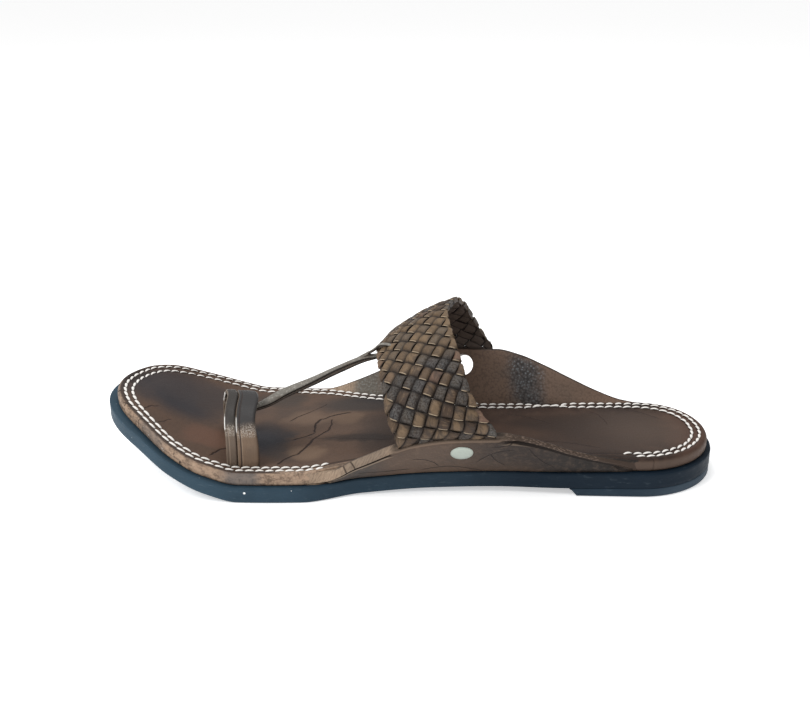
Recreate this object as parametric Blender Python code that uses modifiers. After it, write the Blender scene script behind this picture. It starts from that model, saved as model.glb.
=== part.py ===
"""Kolhapuri sandal for a right foot, flat leather on a rubber sole.

The toe points along -X, +Z is up and Z = 0 is the ground. The big-toe side is at -Y.
Sizes are in millimetres and are turned into metres when a mesh is made.
"""

import math

import bmesh
import bpy
import numpy as np
from mathutils import Matrix, Vector

MM = 0.001
GAP = 0.3

TOE_X = -141.0
HEEL_X = 138.8
TOE_ROUND = 55.0
HEEL_ROUND = 36.0
TOE_SWING = -0.5

# Half-widths of the sole on each side of the X axis, and the height of its underside.
SOLE_COLUMNS = ("x", "medial", "lateral", "under")
SOLE_ROWS = (
    (-140, 45.0, 44.0, 24.4),
    (-122, 45.8, 46.9, 18.9),
    (-105, 48.7, 48.7, 10.6),
    (-88, 50.0, 50.4, 3.7),
    (-74, 50.0, 52.3, 0.0),
    (-46, 48.6, 51.5, 0.0),
    (-20, 39.8, 44.5, 0.8),
    (10, 36.0, 36.6, 2.3),
    (40, 34.6, 31.0, 3.0),
    (70, 36.0, 31.8, 3.6),
    (100, 35.6, 32.5, 4.1),
    (140, 34.3, 37.2, 4.2),
)

OUTSOLE_TOE = 7.0
OUTSOLE_HEEL = 7.4
OUTSOLE_EDGE = 0.8

# The heel lift's front edge, inset and height at each level up to where its sides stand.
LIFT_COLUMNS = ("breast", "inset", "height")
LIFT_ROWS = (
    (75.0, 0.9, 0.0),
    (74.4, 0.34, 0.7),
    (73.4, 0.1, 2.0),
)
LIFT_BREAST_TOP = 71.5
LIFT_INSET = 0.1

BED_THICK = 6.0
BED_MARGIN = 2.4
BED_TOE_MARGIN = 1.9
# Where the wider margin at the toe starts and where it is full, on the medial and lateral side.
BED_TOE_REACH = {-1: (-95.0, -128.0), 1: (-131.0, -141.0)}
BED_BULGE = 0.35
BED_EDGE = 0.8
BED_DISH = 0.8

# The flap on each side: rise is measured up the flap from the footbed's top edge, lean is
# in degrees out from upright, rim is the thickness at the top and body the thickness below.
EAR_COLUMNS = ("x", "rise", "lean", "rim", "body", "foot")
MEDIAL_EAR = (
    (-44, 0.4, 88, 4.2, 4.3, 1.6),
    (-38, 2.0, 84, 4.3, 4.5, 1.5),
    (-30, 6.0, 60, 4.4, 4.9, 1.4),
    (-24, 10.0, 49, 4.4, 5.0, 1.2),
    (-18, 13.5, 45, 4.4, 5.1, 1.0),
    (-6, 17.6, 37, 4.3, 5.2, 0.9),
    (4, 20.4, 34, 4.2, 5.3, 0.9),
    (20, 23.2, 34, 4.2, 5.4, 0.9),
    (40, 23.0, 34, 4.1, 5.3, 0.9),
    (50, 20.0, 34, 2.5, 3.9, 1.0),
    (60, 15.6, 34, 2.4, 3.2, 1.2),
    (70, 10.8, 36, 2.4, 3.0, 1.4),
    (82, 5.8, 42, 2.4, 2.9, 1.5),
    (94, 2.2, 62, 2.8, 3.2, 1.6),
    (101, 0.4, 88, 4.2, 4.3, 1.6),
)
LATERAL_EAR = (
    (-52, 0.4, 88, 4.2, 4.3, 1.6),
    (-46, 1.9, 80, 4.3, 4.5, 1.5),
    (-38, 4.6, 52, 4.4, 4.9, 1.4),
    (-28, 8.8, 38, 4.4, 5.1, 1.2),
    (-18, 13.6, 31, 4.4, 5.2, 0.9),
    (-6, 19.5, 28, 4.3, 5.2, 0.9),
    (4, 23.8, 28, 4.2, 5.3, 0.9),
    (20, 27.6, 28, 4.2, 5.4, 0.9),
    (40, 28.0, 28, 4.1, 5.3, 0.9),
    (52, 25.0, 28, 2.5, 3.8, 1.0),
    (64, 19.6, 28, 2.4, 3.2, 1.2),
    (76, 13.6, 30, 2.4, 3.0, 1.4),
    (88, 7.9, 36, 2.4, 2.9, 1.4),
    (100, 3.3, 52, 2.7, 3.2, 1.5),
    (109, 0.4, 88, 4.2, 4.3, 1.6),
)
EARS = {-1: MEDIAL_EAR, 1: LATERAL_EAR}
EAR_STEP_DROP = 0.6
EAR_FOOT_RISE = 5.0
EAR_INSET = 4.0
EAR_RAMP = 8.0

SEAT_FRONT = -3.5
SEAT_REAR = 38.4
SEAT_DEPTH = 2.7
SEAT_WALL = 1.7
SEAT_ENDS = 0.8
SEAT_PLAY = 0.1
CUTTER_CLEAR = 3.0
EYE_X = 23.4
EYE_DROP = 8.6
EYE_DIAMETER = 10.6
STUD_DIAMETER = 10.0
STUD_FLANGE = 12.4

# The two edges of the braided band from the medial side over the instep: outer face.
BAND_COLUMNS = ("front_x", "front_y", "front_z", "rear_x", "rear_y", "rear_z")
BAND_ROWS = (
    (-5.3, -48.8, 34.0, 36.8, -48.3, 38.0),
    (-8.2, -46.5, 40.5, 31.9, -47.5, 44.0),
    (-9.8, -40.0, 46.8, 26.6, -43.0, 52.3),
    (-11.7, -30.0, 51.0, 22.6, -32.0, 62.0),
    (-14.0, -16.0, 53.6, 18.2, -17.0, 70.0),
    (-15.4, 0.0, 54.2, 16.1, 0.0, 73.4),
    (-12.5, 16.0, 53.7, 19.2, 17.0, 73.0),
    (-11.0, 29.0, 51.7, 23.8, 31.0, 66.6),
    (-9.0, 40.0, 47.6, 27.6, 39.0, 58.2),
    (-6.5, 47.5, 42.4, 30.8, 44.0, 51.2),
    (-4.5, 51.0, 36.5, 34.5, 45.6, 44.5),
)
BAND_WALL = 2.2
BAND_END_WALL = 1.6
BAND_BULGE = 2.2
BAND_BULGE_FADE = 0.16
BAND_FIT_FADE = 0.14
BAND_ACROSS = 9
BAND_ALONG = 36
BAND_END_CELLS = 2
BAND_FADE_STEPS = 3.0
STRIP_RAISE = 0.8
STRIP_SCALLOP = 0.9

# The toe ring's arch, front edge at the narrow strip: rise is above the footbed.
RING_COLUMNS = ("y", "rise", "shift")
RING_ROWS = (
    (-39.0, -2.0, 0.0),
    (-39.0, 4.0, 0.1),
    (-39.8, 11.0, 0.3),
    (-39.4, 18.0, 0.0),
    (-35.4, 23.0, -0.7),
    (-28.6, 25.8, -1.4),
    (-21.2, 26.6, -2.1),
    (-13.5, 25.2, -4.2),
    (-7.5, 20.6, -6.6),
    (-4.4, 13.0, -8.1),
    (-3.6, 5.0, -8.4),
    (-3.6, -0.7, -8.4),
)
RING_SLOT_DEPTH = 2.5
RING_NARROW = (-79.8, -75.0)
RING_WIDE = (-74.4, -65.4)
RING_WALL = 2.0
RING_STEPS = 30
RING_STRIP_COLUMNS = 5

# The strap from the toe ring up to the band: half-width and half-thickness of its section.
STRAP_COLUMNS = ("x", "y", "z", "wide", "thick")
STRAP_ROWS = (
    (-78.5, -7.7, 25.4, 2.0, 1.2),
    (-72.5, -9.5, 27.4, 2.2, 1.4),
    (-67.0, -10.2, 30.0, 2.4, 1.5),
    (-58.6, -7.5, 34.1, 2.4, 1.7),
    (-45.6, -4.5, 39.2, 2.4, 1.7),
    (-32.5, -2.0, 45.0, 2.3, 1.6),
    (-20.5, -0.5, 49.8, 2.1, 1.3),
    (-15.0, 0.2, 50.8, 2.2, 0.9),
    (-9.0, 0.8, 54.2, 2.8, 0.8),
    (-2.0, 1.2, 59.2, 3.0, 0.7),
)
STRAP_STEPS = 28
STRAP_SIDES = 12
STRAP_GROOVE = 0.3

MIDDLE_STEP = 6.0
TOE_CAP_LENGTH = 60.0
TOE_CAP_STEPS = 10
HEEL_CAP_LENGTH = 37.0
HEEL_CAP_STEPS = 8


def clear_scene():
    for obj in list(bpy.data.objects):
        bpy.data.objects.remove(obj, do_unlink=True)


def new_collection(name):
    made = bpy.data.collections.new(name)
    bpy.context.scene.collection.children.link(made)
    return made


def new_material(name, colour, roughness, metallic=0.0):
    made = bpy.data.materials.new(name)
    made.use_nodes = True
    shader = made.node_tree.nodes["Principled BSDF"]
    shader.inputs["Base Color"].default_value = (*colour, 1.0)
    shader.inputs["Roughness"].default_value = roughness
    shader.inputs["Metallic"].default_value = metallic
    return made


def new_object(name, points, faces, collection, material=None):
    """A mesh object from points in millimetres, with its faces turned outwards."""
    mesh = bpy.data.meshes.new(name)
    mesh.from_pydata([tuple(float(c) * MM for c in p) for p in points], [], faces)
    shaped = bmesh.new()
    shaped.from_mesh(mesh)
    bmesh.ops.recalc_face_normals(shaped, faces=shaped.faces)
    shaped.to_mesh(mesh)
    shaped.free()
    mesh.shade_smooth()
    mesh.set_sharp_from_angle(angle=math.radians(40))
    obj = bpy.data.objects.new(name, mesh)
    if material:
        mesh.materials.append(material)
    collection.objects.link(obj)
    return obj


def cut(obj, cutter):
    """Takes the cutter's shape out of the object."""
    cutter.hide_render = True
    cutter.display_type = "WIRE"
    boolean = obj.modifiers.new("cut by " + cutter.name, "BOOLEAN")
    boolean.operation = "DIFFERENCE"
    boolean.object = cutter


def slopes(xs, ys):
    """Slopes that keep a smooth curve through the rows from overshooting them."""
    steps = np.diff(ys) / np.diff(xs)
    inner = [
        0.0 if a * b <= 0 else 2 * a * b / (a + b) for a, b in zip(steps[:-1], steps[1:])
    ]
    return np.array([steps[0], *inner, steps[-1]])


def smooth(rows, columns, name, by, at):
    """The named column of a table, read smoothly at a place along the column by."""
    xs = np.array([row[columns.index(by)] for row in rows], float)
    ys = np.array([row[columns.index(name)] for row in rows], float)
    at = np.clip(np.asarray(at, float), xs[0], xs[-1])
    k = np.clip(np.searchsorted(xs, at, side="right") - 1, 0, len(xs) - 2)
    width = xs[k + 1] - xs[k]
    t = (at - xs[k]) / width
    m = slopes(xs, ys)
    rise = (1 + 2 * t) * (1 - t) ** 2 * ys[k] + t * t * (3 - 2 * t) * ys[k + 1]
    turn = t * (1 - t) ** 2 * m[k] - t * t * (1 - t) * m[k + 1]
    return rise + width * turn


def sole(name, x):
    return smooth(SOLE_ROWS, SOLE_COLUMNS, name, "x", x)


def end_round(share):
    share = np.clip(share, 0.0, 1.0)
    return np.sqrt(1.0 - (1.0 - share) ** 2)


def half_width(side, x):
    """How far the outsole reaches from the X axis at x, on the side -1 or 1."""
    rounded = end_round((x - TOE_X) / TOE_ROUND) * end_round((HEEL_X - x) / HEEL_ROUND)
    swing = TOE_SWING * np.clip((-x - 70.0) / 70.0, 0.0, 1.0) ** 2
    return sole("medial" if side < 0 else "lateral", x) * rounded + side * swing


def sole_top(x):
    share = np.clip((x + 100.0) / 200.0, 0.0, 1.0)
    return sole("under", x) + OUTSOLE_TOE + (OUTSOLE_HEEL - OUTSOLE_TOE) * share


def bed_top(x):
    return sole_top(x) + BED_THICK


def stations():
    """Places along X, close together where the ends turn."""
    toe_turn = np.linspace(0, math.pi / 2, TOE_CAP_STEPS)
    toe = TOE_X + TOE_CAP_LENGTH * (1 - np.cos(toe_turn))
    heel_turn = np.linspace(0, math.pi / 2, HEEL_CAP_STEPS)
    heel = HEEL_X - HEEL_CAP_LENGTH + HEEL_CAP_LENGTH * np.sin(heel_turn)
    middle = np.arange(toe[-1] + MIDDLE_STEP, heel[0] - 1.0, MIDDLE_STEP)
    return np.concatenate([toe, middle, heel])


def outline(xs):
    """The outsole's outline as a closed ring: toe, medial side, heel, lateral side."""
    near = np.c_[xs, -half_width(-1, xs)]
    far = np.c_[xs, half_width(1, xs)]
    near[0] = far[0] = (near[0] + far[0]) / 2
    near[-1] = far[-1] = (near[-1] + far[-1]) / 2
    return np.vstack([near, far[-2:0:-1]])


def inset(ring, distance):
    """The ring moved inwards, by one distance or by one for each point."""
    along = np.roll(ring, -1, axis=0) - np.roll(ring, 1, axis=0)
    along /= np.linalg.norm(along, axis=1)[:, None]
    inward = np.c_[-along[:, 1], along[:, 0]]
    return ring + inward * np.broadcast_to(distance, len(ring))[:, None]


def at_height(ring, heights):
    return np.c_[ring, heights]


def rungs_of(count):
    """Pairs of ring points that face each other across the X axis."""
    half = count // 2
    return [(k, (count - k) % count) for k in range(half + 1)]


def cap_faces(rungs):
    faces = []
    for (a, b), (c, d) in zip(rungs[:-1], rungs[1:]):
        faces.append(tuple(dict.fromkeys((a, c, d, b))))
    return faces


def stack(rings, rungs):
    """Points and faces of a solid whose rings lie one above the other."""
    count = len(rings[0])
    faces = []
    for level in range(len(rings) - 1):
        low = level * count
        for k in range(count):
            n = (k + 1) % count
            faces.append((low + k, low + n, low + count + n, low + count + k))
    top = (len(rings) - 1) * count
    for face in cap_faces(rungs):
        faces.append(face)
        faces.append(tuple(top + k for k in face))
    return np.vstack(rings), faces


def make_outsole(collection):
    ring = outline(stations())
    trimmed = inset(ring, OUTSOLE_EDGE)
    low, high = sole("under", ring[:, 0]), sole_top(ring[:, 0])
    rings = [
        at_height(trimmed, sole("under", trimmed[:, 0])),
        at_height(ring, low + OUTSOLE_EDGE),
        at_height(ring, high - OUTSOLE_EDGE),
        at_height(trimmed, sole_top(trimmed[:, 0])),
    ]
    points, faces = stack(rings, rungs_of(len(ring)))
    rubber = new_material("outsole rubber", (0.030, 0.050, 0.065), 0.55)
    return new_object("outsole", points, faces, collection, rubber)


def lift_ring(breast, distance):
    """The outline of the heel lift, from its breast round the heel and back."""
    xs = stations()
    ring = inset(outline(xs), distance)
    furthest = LIFT_ROWS[0][LIFT_COLUMNS.index("breast")]
    first = int(np.searchsorted(xs, furthest + 2 * GAP))
    near = ring[first : len(xs)]
    far = ring[len(xs) : len(ring) - first + 1]
    front_near = [breast, -half_width(-1, breast) + distance]
    front_far = [breast, half_width(1, breast) - distance]
    return np.vstack([[front_near], near, far, [front_far]])


def make_heel_lift(collection):
    top = lift_ring(LIFT_BREAST_TOP, LIFT_INSET)
    rings = []
    for breast, distance, height in LIFT_ROWS:
        rings.append(at_height(lift_ring(breast, distance), np.full(len(top), height)))
    rings.append(at_height(top, sole("under", top[:, 0]) - GAP))
    count = len(top)
    rungs = [(k, count - 1 - k) for k in range((count + 1) // 2)]
    points, faces = stack(rings, rungs)
    rubber = new_material("heel rubber", (0.036, 0.056, 0.070), 0.6)
    return new_object("heel_lift", points, faces, collection, rubber)


def ear(side, name, x):
    return smooth(EARS[side], EAR_COLUMNS, name, "x", x)


def ear_reach(side):
    return EARS[side][0][0], EARS[side][-1][0]


def flap_share(side, x):
    """0 away from the flap and 1 where it stands at its full thickness."""
    start, end = ear_reach(side)
    return np.clip((x - start) / EAR_RAMP, 0, 1) * np.clip((end - x) / EAR_RAMP, 0, 1)


def bed_wall(side, x):
    """How far the footbed's side stays inside the outsole: further at the toe and by a flap."""
    start, full = BED_TOE_REACH[side]
    toe = np.clip((start - x) / (start - full), 0, 1)
    free = BED_MARGIN - BED_BULGE + BED_TOE_MARGIN * toe
    return free + (EAR_INSET + GAP - free) * flap_share(side, x)


def make_footbed(collection):
    xs = stations()
    ring = outline(xs)
    near, far = bed_wall(-1, xs), bed_wall(1, xs)[-2:0:-1]
    wall = np.concatenate([near, far])
    free = 1 - np.concatenate([flap_share(-1, xs), flap_share(1, xs)[-2:0:-1]])
    levels = (
        (free * BED_EDGE, GAP),
        (0.0, 1.6),
        (0.0, BED_THICK - 1.8),
        (free * BED_EDGE, BED_THICK - 0.6),
        (2.2, BED_THICK),
        (7.0, BED_THICK - BED_DISH / 2),
        (15.0, BED_THICK - BED_DISH),
    )
    rings = []
    for further_in, rise in levels:
        moved = inset(ring, wall + further_in)
        rings.append(at_height(moved, sole_top(moved[:, 0]) + rise))
    points, faces = stack(rings, rungs_of(len(ring)))
    leather = new_material("footbed leather", (0.085, 0.045, 0.028), 0.5)
    return new_object("footbed", points, faces, collection, leather)


def flap_frame(side, x):
    """The flap's inner foot, its direction up the flap and its direction out of it."""
    lean = math.radians(float(ear(side, "lean", x)))
    inner = float(half_width(side, x) - bed_wall(side, x)) + GAP
    foot = np.array([x, side * inner, float(sole_top(x)) + EAR_FOOT_RISE])
    up = np.array([0.0, side * math.sin(lean), math.cos(lean)])
    out = np.array([0.0, side * math.cos(lean), -math.sin(lean)])
    return foot, up, out


def on_flap(side, x, drop, out_by):
    """A point of the flap, drop below its rim and out_by from its inner face."""
    foot, up, out = flap_frame(side, x)
    return foot + up * (float(ear(side, "rise", x)) - drop) + out * out_by


def ear_section(side, x):
    foot, up, out = flap_frame(side, x)
    rise, rim, body = (float(ear(side, n, x)) for n in ("rise", "rim", "body"))
    floor = float(sole_top(x)) + GAP
    step = min(EAR_STEP_DROP, rise / 2)
    corner = min(0.5, rise / 3)
    outer_foot = float(half_width(side, x)) - float(ear(side, "foot", x))
    return [
        (x, foot[1], floor),
        tuple(foot),
        tuple(foot + up * (rise - corner)),
        tuple(foot + up * rise + out * corner),
        tuple(foot + up * rise + out * (rim - corner)),
        tuple(foot + up * (rise - corner) + out * rim),
        tuple(foot + up * (rise - corner - step / 2) + out * body),
        tuple(foot * (1, 0.5, 0.5) + np.array([0, side * outer_foot / 2, floor / 2])
              + up * rise * 0.5 + out * body * 0.5),
        (x, side * outer_foot, floor),
    ]


def loft(sections):
    """A solid through closed sections that all have the same number of points."""
    count = len(sections[0])
    faces = []
    for level in range(len(sections) - 1):
        low = level * count
        for k in range(count):
            n = (k + 1) % count
            faces.append((low + k, low + n, low + count + n, low + count + k))
    last = (len(sections) - 1) * count
    faces.append(tuple(range(count)))
    faces.append(tuple(range(last, last + count)))
    return np.vstack(sections), faces


def seat_cutter(side, cutters):
    """The slot along the flap's top that takes the end of the band."""
    low = SEAT_WALL - SEAT_PLAY
    high = SEAT_WALL + BAND_END_WALL + 2 * GAP + SEAT_PLAY
    sections = []
    for x in np.linspace(SEAT_FRONT - SEAT_ENDS, SEAT_REAR + SEAT_ENDS, 9):
        sections.append([
            on_flap(side, x, SEAT_DEPTH + GAP, low),
            on_flap(side, x, SEAT_DEPTH + GAP, high),
            on_flap(side, x, -CUTTER_CLEAR, high),
            on_flap(side, x, -CUTTER_CLEAR, low),
        ])
    points, faces = loft(sections)
    return new_object(f"seat cutter {side}", points, faces, cutters)


def eye_turn(side):
    """The place and turn of the flap's eye, whose axis runs square out of the flap."""
    foot, up, out = flap_frame(side, EYE_X)
    reach = STUD_FLANGE / 2
    along = flap_frame(side, EYE_X + reach)[0] - flap_frame(side, EYE_X - reach)[0]
    square = np.cross(along, up)
    square *= np.sign(square @ out) / np.linalg.norm(square)
    turn = Matrix((Vector(np.cross(up, square)), Vector(up), Vector(square))).transposed()
    centre = Vector(on_flap(side, EYE_X, EYE_DROP, 0.0) * MM)
    return Matrix.Translation(centre) @ turn.to_4x4()


def eye_cutter(side, cutters):
    shaped = bmesh.new()
    bmesh.ops.create_cone(
        shaped,
        cap_ends=True,
        segments=28,
        radius1=EYE_DIAMETER / 2 * MM,
        radius2=EYE_DIAMETER / 2 * MM,
        depth=20 * MM,
    )
    mesh = bpy.data.meshes.new("eye")
    shaped.to_mesh(mesh)
    shaped.free()
    obj = bpy.data.objects.new(f"eye cutter {side}", mesh)
    obj.matrix_world = eye_turn(side)
    cutters.objects.link(obj)
    return obj


def make_ear(side, name, collection, cutters):
    start, end = ear_reach(side)
    xs = [x for x in stations() if start + 1 < x < end - 1]
    sections = [ear_section(side, x) for x in (start, *xs, end)]
    points, faces = loft(sections)
    leather = new_material(name + " leather", (0.075, 0.048, 0.034), 0.5)
    obj = new_object(name, points, faces, collection, leather)
    cut(obj, seat_cutter(side, cutters))
    cut(obj, eye_cutter(side, cutters))
    return obj


def make_ear_stud(collection):
    """A turned stud that fills the medial flap's eye, with a flange on the inner face."""
    radius, flange = STUD_DIAMETER / 2, STUD_FLANGE / 2
    body = float(ear(-1, "body", EYE_X))
    profile = (
        (0.0, body + 0.9),
        (radius - 0.7, body + 0.7),
        (radius, body + 0.2),
        (radius, -GAP),
        (flange, -GAP),
        (flange, -GAP - 0.6),
        (flange - 0.4, -GAP - 1.0),
        (0.0, -GAP - 1.0),
    )
    mesh = bpy.data.meshes.new("ear_stud")
    edges = [(k, k + 1) for k in range(len(profile) - 1)]
    mesh.from_pydata([(x * MM, 0.0, z * MM) for x, z in profile], edges, [])
    obj = bpy.data.objects.new("ear_stud", mesh)
    screw = obj.modifiers.new("turn", "SCREW")
    screw.axis = "Z"
    screw.steps = 28
    screw.render_steps = 28
    screw.use_merge_vertices = True
    screw.merge_threshold = 0.00005
    screw.use_smooth_shade = True
    mesh.materials.append(new_material("stud metal", (0.55, 0.57, 0.55), 0.35, 0.6))
    obj.matrix_world = eye_turn(-1)
    collection.objects.link(obj)
    return obj


def band_edge(which, x_at_ear):
    """One edge of the band as points: out of the medial slot, over the instep, into the other."""
    middle = SEAT_WALL + GAP + BAND_END_WALL
    first = BAND_COLUMNS.index(which + "_x")
    table = [row[first : first + 3] for row in BAND_ROWS]
    medial = [on_flap(-1, x_at_ear, drop, middle) for drop in (SEAT_DEPTH, -1.0)]
    lateral = [on_flap(1, x_at_ear, drop, middle) for drop in (-1.0, SEAT_DEPTH)]
    return np.array([*medial, *table, *lateral], float)


def resample(points, shares):
    """Points at even shares of the length of a smooth curve through the given points."""
    steps = np.linalg.norm(np.diff(points, axis=0), axis=1)
    at = np.concatenate([[0], np.cumsum(steps)])
    columns = ("t", "v")
    fine = np.linspace(0, at[-1], 400)
    axes = []
    for axis in range(3):
        rows = list(zip(at, points[:, axis]))
        axes.append(smooth(rows, columns, "v", "t", fine))
    path = np.array(axes).T
    length = np.concatenate([[0], np.cumsum(np.linalg.norm(np.diff(path, axis=0), axis=1))])
    return np.array([np.interp(shares * length[-1], length, path[:, a]) for a in range(3)]).T


def band_surface(along, across):
    """The band's outer face without its weave: a grid of points and of normals."""
    shares = np.linspace(0, 1, along + 1)
    widths = np.linspace(0, 1, across + 1)
    front = resample(band_edge("front", SEAT_FRONT), shares)
    rear = resample(band_edge("rear", SEAT_REAR), shares)
    grid = front[:, None, :] * (1 - widths)[None, :, None] + rear[:, None, :] * widths[None, :, None]
    from_end = np.minimum(shares, 1 - shares)
    near_ear = np.clip(from_end / BAND_BULGE_FADE, 0, 1)
    bulge = BAND_BULGE * near_ear[:, None] ** 2 * np.sin(math.pi * widths)[None, :] ** 0.75
    normals = grid_normals(grid)
    grid = grid + normals * bulge[:, :, None]
    for side, row, step in ((-1, 0, 1), (1, along, -1)):
        fit_to_flap(grid, side, row, step, shares, across)
    return grid, grid_normals(grid), shares


def fit_to_flap(grid, side, row, step, shares, across):
    """Moves the rows near one end so that the end lies in the flap's curved slot."""
    middle = SEAT_WALL + GAP + BAND_END_WALL
    end = grid[row].copy()
    for k in range(across + 1):
        x = end[k, 0]
        wanted = on_flap(side, x, SEAT_DEPTH, middle)
        move = wanted - end[k]
        reach = row
        while 0 <= reach < len(grid):
            away = abs(shares[reach] - shares[row])
            ease = max(0.0, 1 - away / BAND_FIT_FADE)
            if ease == 0:
                break
            grid[reach, k] += move * ease * ease * (3 - 2 * ease)
            reach += step


def grid_normals(grid):
    along = np.gradient(grid, axis=0)
    across = np.gradient(grid, axis=1)
    normals = np.cross(across, along)
    normals /= np.linalg.norm(normals, axis=2)[:, :, None]
    middle = normals[len(normals) // 2, normals.shape[1] // 2]
    return normals if middle[2] > 0 else -normals


def weave_height(i, j):
    """Height of the plait at half-cell steps i along and j across: 1 on a strip, 0 between."""
    u, v = (i + j) / 2.0, (i - j) / 2.0
    return abs(math.cos(math.pi * u / 2.0) * math.cos(math.pi * v / 2.0)) ** 0.6


def make_instep_band(collection):
    along, across = 2 * BAND_ALONG, 2 * BAND_ACROSS
    outer, normals, shares = band_surface(along, across)
    plain = 2 * BAND_END_CELLS
    inner = []
    for i in range(along + 1):
        from_end = min(i, along - i)
        fade = min(1.0, max(0.0, (from_end - plain) / BAND_FADE_STEPS))
        wall = BAND_END_WALL + (BAND_WALL - BAND_END_WALL) * fade
        for j in range(across + 1):
            base = outer[i, j].copy()
            if i % 2 == 0 and j % 2 == 0:
                inner.append(base - normals[i, j] * wall)
            rise = STRIP_RAISE * weave_height(i, j) * fade
            outer[i, j] = base + normals[i, j] * rise
            if j in (0, across):
                away = 1 if j else -1
                side = outer[i, j] - outer[i, j - away]
                scallop = STRIP_SCALLOP * math.cos(math.pi * (i + j) / 2.0) * fade
                outer[i, j] += side / np.linalg.norm(side) * scallop
    points = np.vstack([outer.reshape(-1, 3), np.array(inner)])
    faces = band_faces(along, across)
    leather = new_material("plaited leather", (0.14, 0.085, 0.055), 0.5)
    return new_object("instep_band", points, faces, collection, leather)


def band_faces(along, across):
    """Fine faces outside, coarse ones inside, and walls that join the two round the rim."""
    row = across + 1
    start = (along + 1) * row
    coarse = across // 2 + 1

    def fine_at(i, j):
        return i * row + j

    def coarse_at(i, j):
        return start + (i // 2) * coarse + j // 2

    faces = []
    for i in range(along):
        for j in range(across):
            a, b = fine_at(i, j), fine_at(i + 1, j)
            c, d = fine_at(i + 1, j + 1), fine_at(i, j + 1)
            if (i + j) % 2 == 0:
                faces += [(a, b, c), (a, c, d)]
            else:
                faces += [(a, b, d), (b, c, d)]
    for i in range(0, along, 2):
        for j in range(0, across, 2):
            corners = ((i, j), (i + 2, j), (i + 2, j + 2), (i, j + 2))
            faces.append(tuple(coarse_at(*c) for c in corners))
    for i in range(0, along, 2):
        for j in (0, across):
            edge = [fine_at(i, j), fine_at(i + 1, j), fine_at(i + 2, j)]
            faces.append((*edge, coarse_at(i + 2, j), coarse_at(i, j)))
    for j in range(0, across, 2):
        for i in (0, along):
            edge = [fine_at(i, j), fine_at(i, j + 1), fine_at(i, j + 2)]
            faces.append((*edge, coarse_at(i, j + 2), coarse_at(i, j)))
    return faces


def ring_path():
    """The toe ring's arch over the big toe, with its X shift: one row for each step."""
    rise_from = float(bed_top(sum(RING_WIDE) / 2)) - BED_DISH
    rows = [(shift, y, rise_from + rise) for y, rise, shift in RING_ROWS]
    return resample(np.array(rows), np.linspace(0, 1, RING_STEPS + 1))


def make_ring_strip(name, span, collection, material):
    """A strip of the toe ring: a surface along the arch, thickened by Solidify."""
    columns = RING_STRIP_COLUMNS
    path = ring_path()
    points = []
    for step in path:
        for x in np.linspace(*span, columns):
            points.append((x + step[0], step[1], step[2]))
    faces = []
    for i in range(len(path) - 1):
        for j in range(columns - 1):
            a = i * columns + j
            faces.append((a, a + 1, a + 1 + columns, a + columns))
    obj = new_object(name, points, faces, collection, material)
    wall = obj.modifiers.new("leather", "SOLIDIFY")
    wall.thickness = RING_WALL * MM
    wall.offset = 0.0
    wall.use_even_offset = True
    return obj


def ring_slot_cutter(label, row, cutters):
    """A slot in the footbed that takes one end of both strips."""
    y, _, shift = row
    half = RING_WALL / 2 + GAP
    x_low, x_high = RING_NARROW[0] + shift - GAP, RING_WIDE[1] + shift + GAP
    middle = float(bed_top((x_low + x_high) / 2)) - BED_DISH
    low, high = middle - RING_SLOT_DEPTH, middle + 2 * CUTTER_CLEAR
    sections = [
        [(x, y - half, low), (x, y + half, low), (x, y + half, high), (x, y - half, high)]
        for x in (x_low, x_high)
    ]
    points, faces = loft(sections)
    return new_object(f"{label} slot cutter", points, faces, cutters)


def make_toe_ring(collection, cutters, footbed):
    leather = new_material("toe ring leather", (0.12, 0.08, 0.05), 0.5)
    make_ring_strip("toe_ring_narrow", RING_NARROW, collection, leather)
    make_ring_strip("toe_ring_wide", RING_WIDE, collection, leather)
    cut(footbed, ring_slot_cutter("outer", RING_ROWS[0], cutters))
    cut(footbed, ring_slot_cutter("inner", RING_ROWS[-1], cutters))


def strap_section(centre, across, up, wide, thick):
    """A folded strap: two soft lobes with a shallow groove along the middle."""
    section = []
    for k in range(STRAP_SIDES):
        turn = 2 * math.pi * k / STRAP_SIDES
        c, s = math.cos(turn), math.sin(turn)
        squeeze = 1 - STRAP_GROOVE * math.exp(-(c / 0.25) ** 2)
        section.append(centre + across * wide * c + up * thick * squeeze * s)
    return section


def make_toe_strap(collection):
    path = np.array([row[:3] for row in STRAP_ROWS])
    shares = np.linspace(0, 1, STRAP_STEPS + 1)
    centres = resample(path, shares)
    along = np.gradient(centres, axis=0)
    steps = np.linalg.norm(np.diff(path, axis=0), axis=1)
    at = np.concatenate([[0], np.cumsum(steps)]) / steps.sum()
    sections = []
    for k, centre in enumerate(centres):
        forward = along[k] / np.linalg.norm(along[k])
        across = np.cross([0, 0, 1], forward)
        across /= np.linalg.norm(across)
        up = np.cross(forward, across)
        wide = np.interp(shares[k], at, [row[3] for row in STRAP_ROWS])
        thick = np.interp(shares[k], at, [row[4] for row in STRAP_ROWS])
        sections.append(strap_section(centre, across, up, wide, thick))
    points, faces = loft(sections)
    leather = new_material("strap leather", (0.06, 0.055, 0.045), 0.45)
    return new_object("toe_strap", points, faces, collection, leather)


def main():
    clear_scene()
    sandal = new_collection("kolhapuri sandal")
    cutters = new_collection("cutters")
    make_outsole(sandal)
    make_heel_lift(sandal)
    footbed = make_footbed(sandal)
    make_ear(-1, "ear_medial", sandal, cutters)
    make_ear(1, "ear_lateral", sandal, cutters)
    make_ear_stud(sandal)
    make_instep_band(sandal)
    make_toe_ring(sandal, cutters, footbed)
    make_toe_strap(sandal)


main()
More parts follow.
